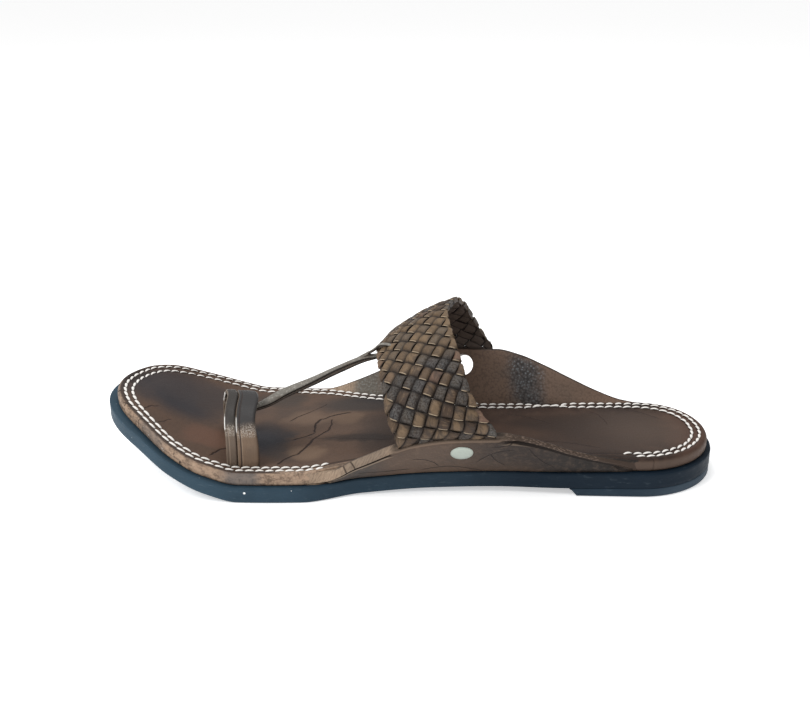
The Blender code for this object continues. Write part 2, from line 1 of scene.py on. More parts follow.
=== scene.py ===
# Kolhapuri sandal, right foot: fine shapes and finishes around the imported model.
# Sizes in the dictionaries are millimetres, and the toe points along -X.
import math

import bmesh
import bpy
import numpy as np
from mathutils import Matrix, Vector


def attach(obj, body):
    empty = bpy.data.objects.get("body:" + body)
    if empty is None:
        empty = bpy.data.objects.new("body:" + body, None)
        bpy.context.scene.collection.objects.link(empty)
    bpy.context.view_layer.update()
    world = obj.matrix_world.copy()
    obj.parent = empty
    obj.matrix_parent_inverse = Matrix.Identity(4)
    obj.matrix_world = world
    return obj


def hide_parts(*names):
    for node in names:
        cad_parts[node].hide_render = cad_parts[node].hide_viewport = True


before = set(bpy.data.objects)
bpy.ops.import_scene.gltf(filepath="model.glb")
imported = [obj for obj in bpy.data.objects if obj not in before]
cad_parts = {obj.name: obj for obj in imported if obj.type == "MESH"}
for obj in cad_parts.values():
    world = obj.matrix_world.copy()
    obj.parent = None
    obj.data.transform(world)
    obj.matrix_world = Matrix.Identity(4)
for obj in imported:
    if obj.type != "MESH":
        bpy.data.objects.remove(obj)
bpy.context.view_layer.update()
mm = 0.001
rng = np.random.default_rng(11)


# tables read smoothly
def endSlopes(xs, ys):
    steps = np.diff(ys) / np.diff(xs)
    inner = [0.0 if a * b <= 0 else 2 * a * b / (a + b) for a, b in zip(steps[:-1], steps[1:])]
    return np.array([steps[0], *inner, steps[-1]])


def throughRows(xs, ys, at):  # a curve through the rows that never overshoots them
    xs, ys = np.asarray(xs, float), np.asarray(ys, float)
    at = np.clip(np.asarray(at, float), xs[0], xs[-1])
    k = np.clip(np.searchsorted(xs, at, side="right") - 1, 0, len(xs) - 2)
    width = xs[k + 1] - xs[k]
    t = (at - xs[k]) / width
    slope = endSlopes(xs, ys)
    rise = (1 + 2 * t) * (1 - t) ** 2 * ys[k] + t * t * (3 - 2 * t) * ys[k + 1]
    return rise + width * (t * (1 - t) ** 2 * slope[k] - t * t * (1 - t) * slope[k + 1])


def column(piece, name, at):
    k = piece["columns"].index(name)
    return throughRows([row[0] for row in piece["rows"]], [row[k] for row in piece["rows"]], at)


def ease(value, low, high):  # 0 below low, 1 above high, smooth between
    t = np.clip((np.asarray(value, float) - low) / (high - low), 0, 1)
    return t * t * (3 - 2 * t)


def mounds(total, x, y, rows):  # adds soft round hills to a total
    for middleX, reachX, middleY, reachY, height in rows:
        far = -((x - middleX) / reachX) ** 2 - ((y - middleY) / reachY) ** 2
        total = total + height * np.exp(far)
    return total


def unit(vectors):
    length = np.linalg.norm(vectors, axis=-1, keepdims=True)
    return vectors / np.maximum(length, 1e-9)


def runAlong(points):  # how far along a line each of its points is
    return np.concatenate([[0], np.cumsum(np.linalg.norm(np.diff(points, axis=0), axis=1))])


def evenly(points, shares):  # points at even shares of the length of a curve through the rows
    points = np.asarray(points, float)
    at = runAlong(points)
    fine = np.linspace(0, at[-1], 600)
    path = np.array([throughRows(at, values, fine) for values in points.T]).T
    run = runAlong(path[:, :3])
    return np.array([np.interp(shares * run[-1], run, values) for values in path.T]).T


# meshes
def makePiece(name, shape, finish, nodes=(), sharp=60):
    points, faces = shape
    mesh = bpy.data.meshes.new(name)
    mesh.from_pydata((np.asarray(points) * mm).tolist(), [], [tuple(f) for f in faces])
    shaped = bmesh.new()
    shaped.from_mesh(mesh)
    bmesh.ops.recalc_face_normals(shaped, faces=shaped.faces)
    shaped.to_mesh(mesh)
    shaped.free()
    mesh.shade_smooth()
    mesh.set_sharp_from_angle(angle=math.radians(sharp))
    mesh.materials.append(finish.material)
    piece = bpy.data.objects.new(name, mesh)
    bpy.context.scene.collection.objects.link(piece)
    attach(piece, "root")
    if nodes:
        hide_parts(*nodes)
    print("made", name, len(mesh.polygons), "faces")
    return piece


def keepValues(piece, name, values):  # three numbers at each point, for the finish to read
    layer = piece.data.attributes.new(name, "FLOAT_VECTOR", "POINT")
    layer.data.foreach_set("vector", np.asarray(values, np.float32).ravel())


def pointsOf(piece):
    found = np.zeros(len(piece.data.vertices) * 3)
    piece.data.vertices.foreach_get("co", found)
    return found.reshape(-1, 3) / mm


def facesBetween(rows, around):  # a wall through rings of points, one ring after another
    i, j = np.meshgrid(np.arange(rows - 1) * around, np.arange(around), indexing="ij")
    beside = (j + 1) % around
    faces = np.stack([i + j, i + beside, i + around + beside, i + around + j], axis=-1)
    return faces.reshape(-1, 4).tolist()


def tube(sections):  # closed at both ends: rows, points round, xyz
    rows, around = sections.shape[:2]
    faces = facesBetween(rows, around)
    faces.append(list(range(around)))
    faces.append(list(range((rows - 1) * around, rows * around)))
    return sections.reshape(-1, 3), faces


def together(parts):  # several sets of points and faces as one
    points, faces, start = [], [], 0
    for some, theirs in parts:
        points.append(some)
        faces += [[k + start for k in face] for face in theirs]
        start += len(some)
    return np.vstack(points), faces


# shader maths: a wire is a socket that can be added, scaled and compared
class Wire:
    def __init__(self, finish, socket):
        self.finish = finish
        self.socket = socket

    def maths(self, operation, *values):
        return self.finish.node("Math", {"operation": operation}, dict(enumerate(values)))

    def __add__(self, other):
        return self.maths("ADD", self, other)

    def __sub__(self, other):
        return self.maths("SUBTRACT", self, other)

    def __rsub__(self, other):
        return self.maths("SUBTRACT", other, self)

    def __mul__(self, other):
        return self.maths("MULTIPLY", self, other)

    def __abs__(self):
        return self.maths("ABSOLUTE", self)

    __radd__ = __add__
    __rmul__ = __mul__

    def least(self, other):
        return self.maths("MINIMUM", self, other)

    def most(self, other):
        return self.maths("MAXIMUM", self, other)

    def sine(self):
        return self.maths("SINE", self)

    def rising(self, low, high):  # 0 below low, 1 above high
        stops = {0: self, 1: low, 2: high, 3: 0.0, 4: 1.0}
        return self.finish.node("MapRange", {"interpolation_type": "SMOOTHSTEP"}, stops)

    def falling(self, low, high):
        return 1 - self.rising(low, high)

    def near(self, centre, half, soft):  # 1 within half of the centre, fading over soft
        return abs(self - centre).falling(half, half + soft)


def paint(red, green, blue):  # a colour in screen values, 0 to 255, as light
    def light(c):
        c /= 255
        return c / 12.92 if c <= 0.04045 else ((c + 0.055) / 1.055) ** 2.4
    return light(red), light(green), light(blue)


class Finish:  # a material, with a shade that is built up layer by layer
    def __init__(self, name, colours, **constants):
        self.material = bpy.data.materials.new(name)
        self.material.use_nodes = True
        self.nodes = self.material.node_tree.nodes
        self.links = self.material.node_tree.links
        self.shader = self.nodes["Principled BSDF"]
        self.colours = colours
        self.shade = None
        for socket, value in constants.items():
            self.shader.inputs[socket.replace("_", " ")].default_value = value

    def node(self, kind, settings=None, sockets=None, output=0):
        made = self.nodes.new("ShaderNode" + kind)
        for name, value in (settings or {}).items():
            setattr(made, name, value)
        for name, value in (sockets or {}).items():
            self.join(made.inputs[name], value)
        return Wire(self, made.outputs[output])

    def join(self, target, value):
        if isinstance(value, str):  # the name of one of the piece's colours
            value = paint(*self.colours[value])
        if isinstance(value, Wire):
            self.links.new(value.socket, target)
        elif isinstance(value, tuple) and target.type == "RGBA":
            target.default_value = (*value, 1)
        else:
            target.default_value = value

    def feed(self, name, value):
        self.join(self.shader.inputs[name], value)

    def place(self):  # where a point of the surface is, in millimetres
        spot = self.node("TexCoord", output=3)
        return self.node("VectorMath", {"operation": "SCALE"}, {0: spot, 3: 1 / mm})

    def kept(self, name):
        return self.node("Attribute", {"attribute_name": name}, output=1)

    def parts(self, vector):
        first = self.node("SeparateXYZ", sockets={0: vector})
        return [Wire(self, out) for out in first.socket.node.outputs]

    def joined(self, x, y, z=0.0):
        return self.node("CombineXYZ", sockets={0: x, 1: y, 2: z})

    def noise(self, at, size, detail=3.0, rough=0.5, warp=0.0):
        sockets = {"Vector": at, "Scale": 1 / size, "Detail": detail, "Roughness": rough}
        return self.node("TexNoise", sockets={**sockets, "Distortion": warp})

    def cells(self, at, size):
        return self.node("TexVoronoi", {"feature": "F1"}, {"Vector": at, "Scale": 1 / size})

    def mix(self, share, first, second):
        return self.node("Mix", {"data_type": "RGBA"}, {0: share, 6: first, 7: second}, output=2)

    def over(self, share, colour):  # lays a colour over the shade so far
        self.shade = self.mix(share, self.shade, colour)

    def fades(self, at, rows):  # colours that come in one after another
        for low, high, share, colour in rows:
            self.over(at.rising(low, high) * share, colour)

    def close(self, roughness, height, depth, strength):  # the last step of each finish
        self.feed("Base Color", self.shade)
        self.feed("Roughness", roughness)
        sockets = {"Height": height, "Distance": depth * mm, "Strength": strength}
        self.feed("Normal", self.node("Bump", sockets=sockets))
        return self


def oval(x, y, middleX, middleY, halfX, halfY):  # 1 on the outline of an oval, less inside it
    across, up = (x - middleX) * (1 / halfX), (y - middleY) * (1 / halfY)
    return across * across + up * up


def crackLine(x, y, wobble, ends, bow, width):  # a thin curved crack between two places
    (ax, ay), (bx, by) = ends
    length = math.hypot(bx - ax, by - ay)
    ux, uy = (bx - ax) / length, (by - ay) / length
    along = (x - ax) * ux + (y - ay) * uy
    aside = (y - ay) * ux - (x - ax) * uy
    bend = (along * (math.pi / length)).sine() * bow
    fade = along.rising(-0.5, 0.12 * length) * along.falling(0.88 * length, length + 0.5)
    return abs(aside - bend + wobble).falling(width * 0.25, width) * fade


def crackLines(x, y, wobble, rows):  # rows hold two ends, bow, half width and strength
    cracks = 0.0
    for ends, bow, width, share in rows:
        cracks = (crackLine(x, y, wobble, ends, bow, width) * share).most(cracks)
    return cracks


# the sole
sole = {
    "toeX": -141.0, "heelX": 138.8, "toeRound": 55.0, "heelRound": 36.0, "toeSwing": -0.5,
    "toeThick": 7.0, "heelThick": 7.4, "toeCap": 60.0, "heelCap": 37.0, "step": 1.5,
    "toeSteps": 34, "heelSteps": 26,
    "columns": ("x", "medial", "lateral", "under"),
    "rows": (
        (-140, 45.0, 44.0, 24.4),
        (-122, 45.8, 46.9, 18.9),
        (-105, 48.7, 48.7, 10.6),
        (-88, 50.0, 50.4, 3.7),
        (-74, 50.0, 52.3, 0.0),
        (-46, 48.6, 51.5, 0.0),
        (-20, 39.8, 44.5, 0.8),
        (10, 36.0, 36.6, 2.3),
        (40, 34.6, 31.0, 3.0),
        (70, 36.0, 31.8, 3.6),
        (100, 35.6, 32.5, 4.1),
        (140, 34.3, 37.2, 4.2),
    ),
    "edge": (  # inset, rise and whether it is measured from the top
        (5.0, 0.0, 0), (0.4, 0.0, 0), (0.14, 0.14, 0), (0.0, 0.5, 0), (0.05, 2.0, 0),
        (0.05, -2.0, 1), (0.0, -0.9, 1), (0.2, -0.22, 1), (0.8, 0.0, 1),
    ),
    "fades": ((-110, -35, 1, "middle"), (0, 60, 1, "heel")),  # from, to, share and colour
    "lastFades": (), "dots": (-90, -50),
    "specks": ((-70.5, 4.8, 0.6), (-50.0, 6.0, 0.22)),  # along, height and radius
    "colours": {
        "toe": (56, 77, 91), "middle": (45, 64, 78), "heel": (18, 33, 46), "cloud": (16, 24, 30),
        "dust": (120, 134, 142), "wearAndHighlight": (110, 128, 140), "speck": (235, 238, 238),
        "dot": (170, 182, 190),
    },
}
lift = {
    "breastTop": 71.5, "breastFoot": 75.0, "gap": 0.06,
    "edge": (  # share of the slope of the breast, inset and height
        (1.0, 0.9, 0.0), (0.95, 0.35, 0.15), (0.85, 0.1, 0.6), (0.3, 0.12, 2.8),
    ),
    "topEdge": ((0.12, 0.2), (0.3, 0.02)),  # inset, and drop below the sole
    "fades": (), "specks": (), "dots": (), "lastFades": ((96, 124, 0.6, "back"),),
    "colours": {"toe": (41, 56, 69), "back": (66, 80, 92)},
}


def roundEnd(share):
    return np.sqrt(1.0 - (1.0 - np.clip(share, 0.0, 1.0)) ** 2)


def halfWidth(side, x):
    rounded = roundEnd((x - sole["toeX"]) / sole["toeRound"])
    rounded = rounded * roundEnd((sole["heelX"] - x) / sole["heelRound"])
    swing = sole["toeSwing"] * np.clip((-x - 70.0) / 70.0, 0.0, 1.0) ** 2
    return column(sole, "medial" if side < 0 else "lateral", x) * rounded + side * swing


def soleUnder(x):
    return column(sole, "under", x)


def soleTop(x):
    share = np.clip((x + 100.0) / 200.0, 0.0, 1.0)
    return soleUnder(x) + sole["toeThick"] + (sole["heelThick"] - sole["toeThick"]) * share


def stations():  # places along the sole, close together at its ends
    toeTurn = np.linspace(0, math.pi / 2, sole["toeSteps"])
    heelTurn = np.linspace(0, math.pi / 2, sole["heelSteps"])
    toe = sole["toeX"] + sole["toeCap"] * (1 - np.cos(toeTurn))
    heel = sole["heelX"] - sole["heelCap"] * (1 - np.sin(heelTurn))
    middle = np.arange(toe[-1] + sole["step"], heel[0] - 0.5 * sole["step"], sole["step"])
    return np.concatenate([toe, middle, heel])


def outlineRing(xs):
    near = np.c_[xs, -halfWidth(-1, xs)]
    far = np.c_[xs, halfWidth(1, xs)]
    near[0] = (near[0] + far[0]) / 2
    near[-1] = (near[-1] + far[-1]) / 2
    return np.vstack([near, far[-2:0:-1]])


def insetRing(ring, distance):
    along = unit(np.roll(ring, -1, axis=0) - np.roll(ring, 1, axis=0))
    inward = np.c_[-along[:, 1], along[:, 0]]
    return ring + inward * np.broadcast_to(distance, len(ring))[:, None]


def ladder(count):  # pairs of ring points that face each other over the X axis
    return [(k, (count - k) % count) for k in range(count // 2 + 1)]


def stackRings(rings, rungs):
    count = len(rings[0])
    faces = facesBetween(len(rings), count)
    top = (len(rings) - 1) * count
    for (a, b), (c, d) in zip(rungs[:-1], rungs[1:]):
        cap = tuple(dict.fromkeys((a, c, d, b)))
        faces += [cap, tuple(top + k for k in cap)]
    return np.vstack(rings), faces


def rubberFinish(name, layer, colours):
    finish = Finish(name, colours, Specular_IOR_Level=0.12)
    at = finish.place()
    x, y, z = finish.parts(at)
    finish.shade = "toe"
    finish.fades(x, layer["fades"])
    finish.over((finish.noise(at, 14, detail=4) - 0.5) * 0.5 + 0.2, "cloud")
    dusty = finish.noise(finish.joined(x * 0.6, y * 0.6, z * 2.2), 3.2, detail=5, rough=0.7)
    finish.over(dusty.rising(0.56, 0.8) * 0.2, "dust")
    wearAndHighlight = finish.noise(finish.joined(x * 0.2, y * 0.2, z), 2.6, detail=5, rough=0.7)
    ball = z.near(8.6, 0.5, 1.6) * x.near(-56, 8, 8)  # the edge under the ball of the foot: pale marks, partly wear and partly painted highlight on the rounded top edge
    finish.over(wearAndHighlight.rising(0.5, 0.7) * ball * 0.35, "wearAndHighlight")
    for alongX, height, radius in layer["specks"]:
        speck = oval(x, z, alongX, height, radius, radius).falling(0.5, 1.0)
        finish.over(speck * y.falling(-10, -5), "speck")
    if layer["dots"]:
        dots = finish.cells(at, 2.6).falling(0.06, 0.11)
        some = finish.noise(at, 9, detail=1).rising(0.56, 0.64)
        finish.over(dots * some * x.falling(*layer["dots"]) * 0.5, "dot")
    finish.fades(x, layer["lastFades"])
    grain = finish.noise(at, 0.7, detail=4, rough=0.6)
    sawn = finish.noise(finish.joined(x * 0.12, y * 0.12, z * 1.6), 1.4, detail=2)
    roughness = 0.44 + 0.22 * finish.noise(at, 5, detail=4)
    return finish.close(roughness, grain + sawn * 1.4, 0.16, 0.5)


def makeSole():
    ring = outlineRing(stations())
    rings = []
    for inset, rise, fromTop in sole["edge"]:
        moved = insetRing(ring, inset)
        level = soleTop if fromTop else soleUnder
        base = level(moved[:, 0] if inset > 0.5 else ring[:, 0])
        rings.append(np.c_[moved, base + rise])
    finish = rubberFinish("soleRubber", sole, sole["colours"])
    makePiece("soleRubber", stackRings(rings, ladder(len(ring))), finish, ["outsole"])


def liftRing(breast, inset):
    xs = stations()
    ring = insetRing(outlineRing(xs), inset)
    first = int(np.searchsorted(xs, lift["breastFoot"] + 0.6))
    near, far = ring[first:len(xs)], ring[len(xs):len(ring) - first + 1]
    ends = [[breast, -halfWidth(-1, breast) + inset], [breast, halfWidth(1, breast) - inset]]
    return np.vstack([[ends[0]], near, far, [ends[1]]])


def makeLift():
    span = lift["breastFoot"] - lift["breastTop"]
    rings = []
    for share, inset, z in lift["edge"]:
        ring = liftRing(lift["breastTop"] + span * share, inset)
        rings.append(np.c_[ring, np.full(len(ring), z)])
    for inset, drop in lift["topEdge"]:
        top = liftRing(lift["breastTop"] + 0.2 * drop, inset)
        rings.append(np.c_[top, soleUnder(top[:, 0]) - lift["gap"] - drop])
    count = len(rings[0])
    shape = stackRings(rings, [(k, count - 1 - k) for k in range((count + 1) // 2)])
    finish = rubberFinish("liftRubber", lift, {**sole["colours"], **lift["colours"]})
    makePiece("liftRubber", shape, finish, ["heel_lift"])


# the flaps that hold the band
flapColumns = ("x", "rise", "lean", "rim", "body", "foot")
flaps = {
    -1: {"columns": flapColumns, "rows": (
        (-44, 0.4, 88, 4.2, 4.3, 1.6),
        (-38, 2.0, 84, 4.3, 4.5, 1.5),
        (-30, 6.0, 60, 4.4, 4.9, 1.4),
        (-24, 10.0, 49, 4.4, 5.0, 1.2),
        (-18, 13.5, 45, 4.4, 5.1, 1.0),
        (-6, 17.6, 37, 4.3, 5.2, 0.9),
        (4, 20.4, 34, 4.2, 5.3, 0.9),
        (20, 23.2, 34, 4.2, 5.4, 0.9),
        (40, 23.0, 34, 4.1, 5.3, 0.9),
        (50, 20.0, 34, 2.5, 3.9, 1.0),
        (60, 15.6, 34, 2.4, 3.2, 1.2),
        (70, 10.8, 36, 2.4, 3.0, 1.4),
        (82, 5.8, 42, 2.4, 2.9, 1.5),
        (94, 2.2, 62, 2.8, 3.2, 1.6),
        (101, 0.4, 88, 4.2, 4.3, 1.6),
    )},
    1: {"columns": flapColumns, "rows": (
        (-52, 0.4, 88, 4.2, 4.3, 1.6),
        (-46, 1.9, 80, 4.3, 4.5, 1.5),
        (-38, 4.6, 52, 4.4, 4.9, 1.4),
        (-28, 8.8, 38, 4.4, 5.1, 1.2),
        (-18, 13.6, 31, 4.4, 5.2, 0.9),
        (-6, 19.5, 28, 4.3, 5.2, 0.9),
        (4, 23.8, 28, 4.2, 5.3, 0.9),
        (20, 27.6, 28, 4.2, 5.4, 0.9),
        (40, 28.0, 28, 4.1, 5.3, 0.9),
        (52, 25.0, 28, 2.5, 3.8, 1.0),
        (64, 19.6, 28, 2.4, 3.2, 1.2),
        (76, 13.6, 30, 2.4, 3.0, 1.4),
        (88, 7.9, 36, 2.4, 2.9, 1.4),
        (100, 3.3, 52, 2.7, 3.2, 1.5),
        (109, 0.4, 88, 4.2, 4.3, 1.6),
    )},
    "footRise": 5.0, "inset": 4.0, "ramp": 8.0, "delay": 3.0, "gap": 0.1, "step": 1.2,
    "sunk": 1.0, "sunkOver": 7.0, "raised": 0.5, "raisedOver": 16.0,  # the ends lean in and rise
    "seatFront": -3.5, "seatRear": 38.4, "seatDepth": 2.7, "seatWall": 1.7, "seatThick": 1.6,
    "eyeX": 23.4, "eyeDrop": 8.6, "eyeDiameter": 10.6, "eyeSides": 64, "eyeCut": 20.0,
    "pocketEdge": (  # below the top, past the rim
        (0.3, -0.9), (0.12, -0.75), (0.05, -0.5), (0.05, -0.2), (0.1, 0.1), (0.2, 0.35), (0.4, 0.65),
    ),
    "pocketFoot": ((0.7, 0.3), (1.1, 0.12), (1.8, 0.0)),  # below the top, short of the body
    "fullRise": 4.0, "clear": 0.3, "backSteps": (0.12, 0.26, 0.42, 0.58, 0.74, 0.88, 0.96, 1.0),
    "outerFades": (
        (-20, -4, 1, "outerFront"), (8, 46, 1, "outerMiddle"), (48, 76, 1, "outerHeel"),
    ),
    "creases": ((-27.8, 0.4, 0.12), (-24.6, 0.55, -0.12)),  # along the rim, slant and wobble
    "cracks": (  # two ends along and down the flap, bow, half width and strength
        (((-22, 5.0), (2, 17.5)), 1.6, 0.5, 1), (((5, 20.0), (34, 25.5)), -2.6, 0.5, 1),
        (((2, 9.0), (14, 19.0)), -2.2, 0.4, 1), (((52, 3.0), (64, 12.0)), 1.5, 0.4, 1),
        (((36, 9.0), (43, 19.0)), 1.2, 0.4, 1), (((36, 4.0), (46, 1.6)), 0.8, 0.4, 1),
        (((30, 17.0), (46, 6.0)), -2.4, 0.4, 1), (((-34, 6.0), (-20, 9.0)), 0.8, 0.4, 1),
    ),
    "colours": {
        "outerToe": (66, 60, 56), "outerFront": (85, 70, 60), "outerMiddle": (50, 42, 38),
        "outerHeel": (41, 37, 35), "outerLowPale": (92, 75, 62), "outerDark": (52, 47, 45),
        "inner": (124, 103, 89), "innerShade": (108, 94, 84), "innerSpot": (74, 77, 80),
        "innerFront": (100, 101, 94), "pebbleHighlight": (142, 150, 156), "pebbleShade": (44, 42, 42),
        "innerHeel": (96, 77, 65), "rubbed": (120, 100, 86), "rim": (142, 121, 102),
        "rimPale": (180, 158, 136), "rib": (96, 80, 68), "rimBehind": (70, 58, 50),
        "dash": (128, 110, 98), "rimBandShadow": (40, 34, 31), "rimGrey": (84, 78, 72),
        "rimEnds": (66, 54, 47), "innerEdge": (40, 33, 30), "crease": (52, 42, 37),
        "groove": (34, 28, 25), "lip": (150, 132, 114), "cover": (134, 114, 98),
        "crack": (36, 30, 28),
    },
}


def flapEnds(side):
    return flaps[side]["rows"][0][0], flaps[side]["rows"][-1][0]


def flapShare(side, x, delay=0.0):  # 1 along the flap, 0 past its ends
    start, end = flapEnds(side)
    rising = np.clip((x - start - delay) / flaps["ramp"], 0, 1)
    return rising * np.clip((end - delay - x) / flaps["ramp"], 0, 1)


def toeMargin(side, x):  # the footbed stands further in at the toe
    start, full = bed["toeReach"][side]
    return bed["toeMargin"] * np.clip((start - x) / (start - full), 0, 1)


def bedWall(side, x, delay=0.0):  # how far in the footbed's side is, giving way to the flap
    free = bed["margin"] + toeMargin(side, x)
    return free + (flaps["inset"] + flaps["clear"] - free) * flapShare(side, x, delay)


def pocketShare(x):  # 1 where the band goes into the flap
    front, rear = flaps["seatFront"], flaps["seatRear"]
    return ease(x, front - 5, front) * (1 - ease(x, rear, rear + 6))


def pocketShade(x):  # the same stretch, for a finish
    front, rear = flaps["seatFront"], flaps["seatRear"]
    return x.rising(front - 5, front - 1) * x.falling(rear + 1, rear + 6)


def flapFrame(side, x):
    lean = math.radians(float(column(flaps[side], "lean", x)))
    inner = float(halfWidth(side, x) - bedWall(side, x)) + flaps["clear"]
    foot = np.array([x, side * inner, float(soleTop(x)) + flaps["footRise"]])
    up = np.array([0.0, side * math.sin(lean), math.cos(lean)])
    out = np.array([0.0, side * math.cos(lean), -math.sin(lean)])
    return foot, up, out


def onFlap(side, x, drop, outBy):
    foot, up, out = flapFrame(side, x)
    return foot + up * (float(column(flaps[side], "rise", x)) - drop) + out * outBy


def topSection(side, x, share):  # the flap's face, turned top and lip: up and out from its foot
    rise, rim, body = (float(column(flaps[side], name, x)) for name in ("rise", "rim", "body"))
    bend = min(0.42 * rim, 1.3) * share
    groove, lip = 0.95 * share, 0.55 * share
    low = rise - bend
    turn = np.radians([0, 22, 45, 67, 90])
    spots = [(rise * s, 0.0) for s in (0.0, 0.25, 0.5, 0.75)]
    spots += [(low + bend * math.sin(a), bend - bend * math.cos(a)) for a in turn]
    free = [(low + bend * math.cos(a), rim - bend + bend * math.sin(a)) for a in turn]
    free += [
        (low - 0.25 * share, rim - 0.05),
        (low - 0.5 * share, rim - groove * 0.5),
        (low - 0.7 * share, rim + 0.25 * (body - rim)),
        (low - lip - 0.5 * share, body - 0.12),
        (low - lip - share, body),
    ]
    pocket = [(rise - drop, rim + past) for drop, past in flaps["pocketEdge"]]
    pocket += [(rise - drop, body - short) for drop, short in flaps["pocketFoot"]]
    held = float(pocketShare(x))
    for (a, b), (c, d) in zip(free, pocket):
        spots.append((a * (1 - held) + c * held, b * (1 - held) + d * held))
    return spots


def flapSection(side, x):
    foot, up, out = flapFrame(side, x)
    floor = float(soleTop(x)) + flaps["gap"]
    share = min(1.0, float(column(flaps[side], "rise", x)) / flaps["fullRise"])
    section = [(x, foot[1], floor)]
    section += [foot + up * a + out * o for a, o in topSection(side, x, share)]
    last = np.array(section[-1], float)
    outer = float(halfWidth(side, x)) - float(column(flaps[side], "foot", x))
    base = np.array([x, side * outer, floor])
    for s in flaps["backSteps"]:
        bow = np.array([0, side * 0.55, -0.1]) * math.sin(math.pi * s) * share
        section.append(last + (base - last) * s + bow)
    section = np.array(section)
    start, end = flapEnds(side)
    fromEnd = min(x - start, end - x)
    section[:, 1] -= side * flaps["sunk"] * (1 - float(ease(fromEnd, 0, flaps["sunkOver"])))
    raised = flaps["raised"] * (1 - float(ease(fromEnd, 0, flaps["raisedOver"])))
    section[:, 2] += raised * np.clip((section[:, 2] - floor) / flaps["footRise"], 0, 1)
    return section


def makeFlap(side, name, node):
    start, end = flapEnds(side)
    xs = np.linspace(start, end, int((end - start) / flaps["step"]) + 1)
    shape = tube(np.array([flapSection(side, x) for x in xs]))
    piece = makePiece(name, shape, flapFinish(name + "Leather", side < 0), [node])
    if side > 0:
        pierceEye(piece, side)
    values = []
    for p in pointsOf(piece):
        foot, up, out = flapFrame(side, float(np.clip(p[0], start, end)))
        away = p - foot
        values.append((p[0], float(column(flaps[side], "rise", p[0])) - away @ up, away @ out))
    keepValues(piece, "flap", values)


def eyeTurn(side):
    up, out = flapFrame(side, flaps["eyeX"])[1:]
    along = flapFrame(side, flaps["eyeX"] + 6)[0] - flapFrame(side, flaps["eyeX"] - 6)[0]
    square = np.cross(along, up)
    square *= np.sign(square @ out) / np.linalg.norm(square)
    turn = Matrix((Vector(np.cross(up, square)), Vector(up), Vector(square))).transposed()
    centre = Vector(onFlap(side, flaps["eyeX"], flaps["eyeDrop"], 0.0) * mm)
    return Matrix.Translation(centre) @ turn.to_4x4()


def pierceEye(piece, side):  # cuts the eye through the flap and keeps the result
    shaped = bmesh.new()
    radius = flaps["eyeDiameter"] / 2 * mm
    bmesh.ops.create_cone(
        shaped, cap_ends=True, segments=flaps["eyeSides"],
        radius1=radius, radius2=radius, depth=flaps["eyeCut"] * mm,
    )
    mesh = bpy.data.meshes.new("eyeTool")
    shaped.to_mesh(mesh)
    shaped.free()
    tool = bpy.data.objects.new("eyeTool", mesh)
    tool.matrix_world = eyeTurn(side)
    bpy.context.scene.collection.objects.link(tool)
    cut = piece.modifiers.new("eye", "BOOLEAN")
    cut.operation, cut.object = "DIFFERENCE", tool
    bpy.context.view_layer.update()
    current = bpy.context.evaluated_depsgraph_get()
    carved = bpy.data.meshes.new_from_object(piece.evaluated_get(current))
    piece.modifiers.remove(cut)
    piece.data = carved
    carved.shade_smooth()
    carved.set_sharp_from_angle(angle=math.radians(50))
    bpy.data.objects.remove(tool)


def outerFace(finish, x, drop, wide):
    finish.shade = "outerToe"
    finish.fades(x, flaps["outerFades"])
    # paler low on the outer face, around the middle of the flap
    finish.over(drop.rising(10, 24) * x.near(34, 16, 20) * 0.4, "outerLowPale")
    finish.over(wide.rising(0.5, 0.75) * 0.4, "outerDark")
    return 0.3  # how much of the pebbled grain shows


def innerFace(finish, x, drop, wide, pebbles):
    finish.shade = finish.mix(wide.rising(0.35, 0.7), "inner", "innerShade")
    back = x + (wide - 0.5) * 14 - drop * 0.1
    spot = back.near(53, 2, 11) * drop.falling(20, 30) * drop.rising(-2, 5)
    front = back.falling(-24, -8)
    finish.over(spot * 0.8, "innerSpot")
    finish.over(front * 0.7, "innerFront")
    # painted highlight on the tops of the pebbles and painted shade between them, over the pebble
    # bumps
    light = spot * (0.35 + drop.falling(4, 16) * 0.45) + front * 0.35
    finish.over(pebbles.falling(0.12, 0.42) * light, "pebbleHighlight")
    finish.over(pebbles.rising(0.5, 0.75) * (0.25 + spot * 0.4), "pebbleShade")
    finish.over(x.rising(58, 90) * 0.5, "innerHeel")
    return 0.35 + (spot + front) * 0.65


def turnedRim(finish, x, drop, out):  # tan and ribbed before the band, dark with dashes behind it, with painted shadow where the band goes in
    scuffs = finish.noise(finish.joined(x, drop, out), 2.4, detail=5, rough=0.7)
    ribbed = finish.joined(x * 1.5 + out * 0.9, out * 0.3 - x * 0.2, drop * 0.3)
    ribs = finish.noise(ribbed, 0.9, detail=3).rising(0.45, 0.62)
    ahead = finish.mix(ribs * 0.45, finish.mix(scuffs, "rim", "rimPale"), "rib")
    dashes = finish.noise(finish.joined(x * 0.5, out * 1.5, drop), 0.7, detail=3)
    dashed = dashes.rising(0.5, 0.66) * x.falling(78, 92) * 0.8
    shade = finish.mix(x.rising(30, 46), ahead, finish.mix(dashed, "rimBehind", "dash"))
    # painted shadow of the band on the rim where the band goes into the flap
    shade = finish.mix(pocketShade(x) * 0.85, shade, "rimBandShadow")
    shade = finish.mix(x.near(-18, 5, 10) * 0.45, shade, "rimGrey")
    ends = x.falling(-44, -38) * 0.15 + x.rising(80, 92) * 0.9
    return finish.mix(ends.least(1.0), shade, "rimEnds")


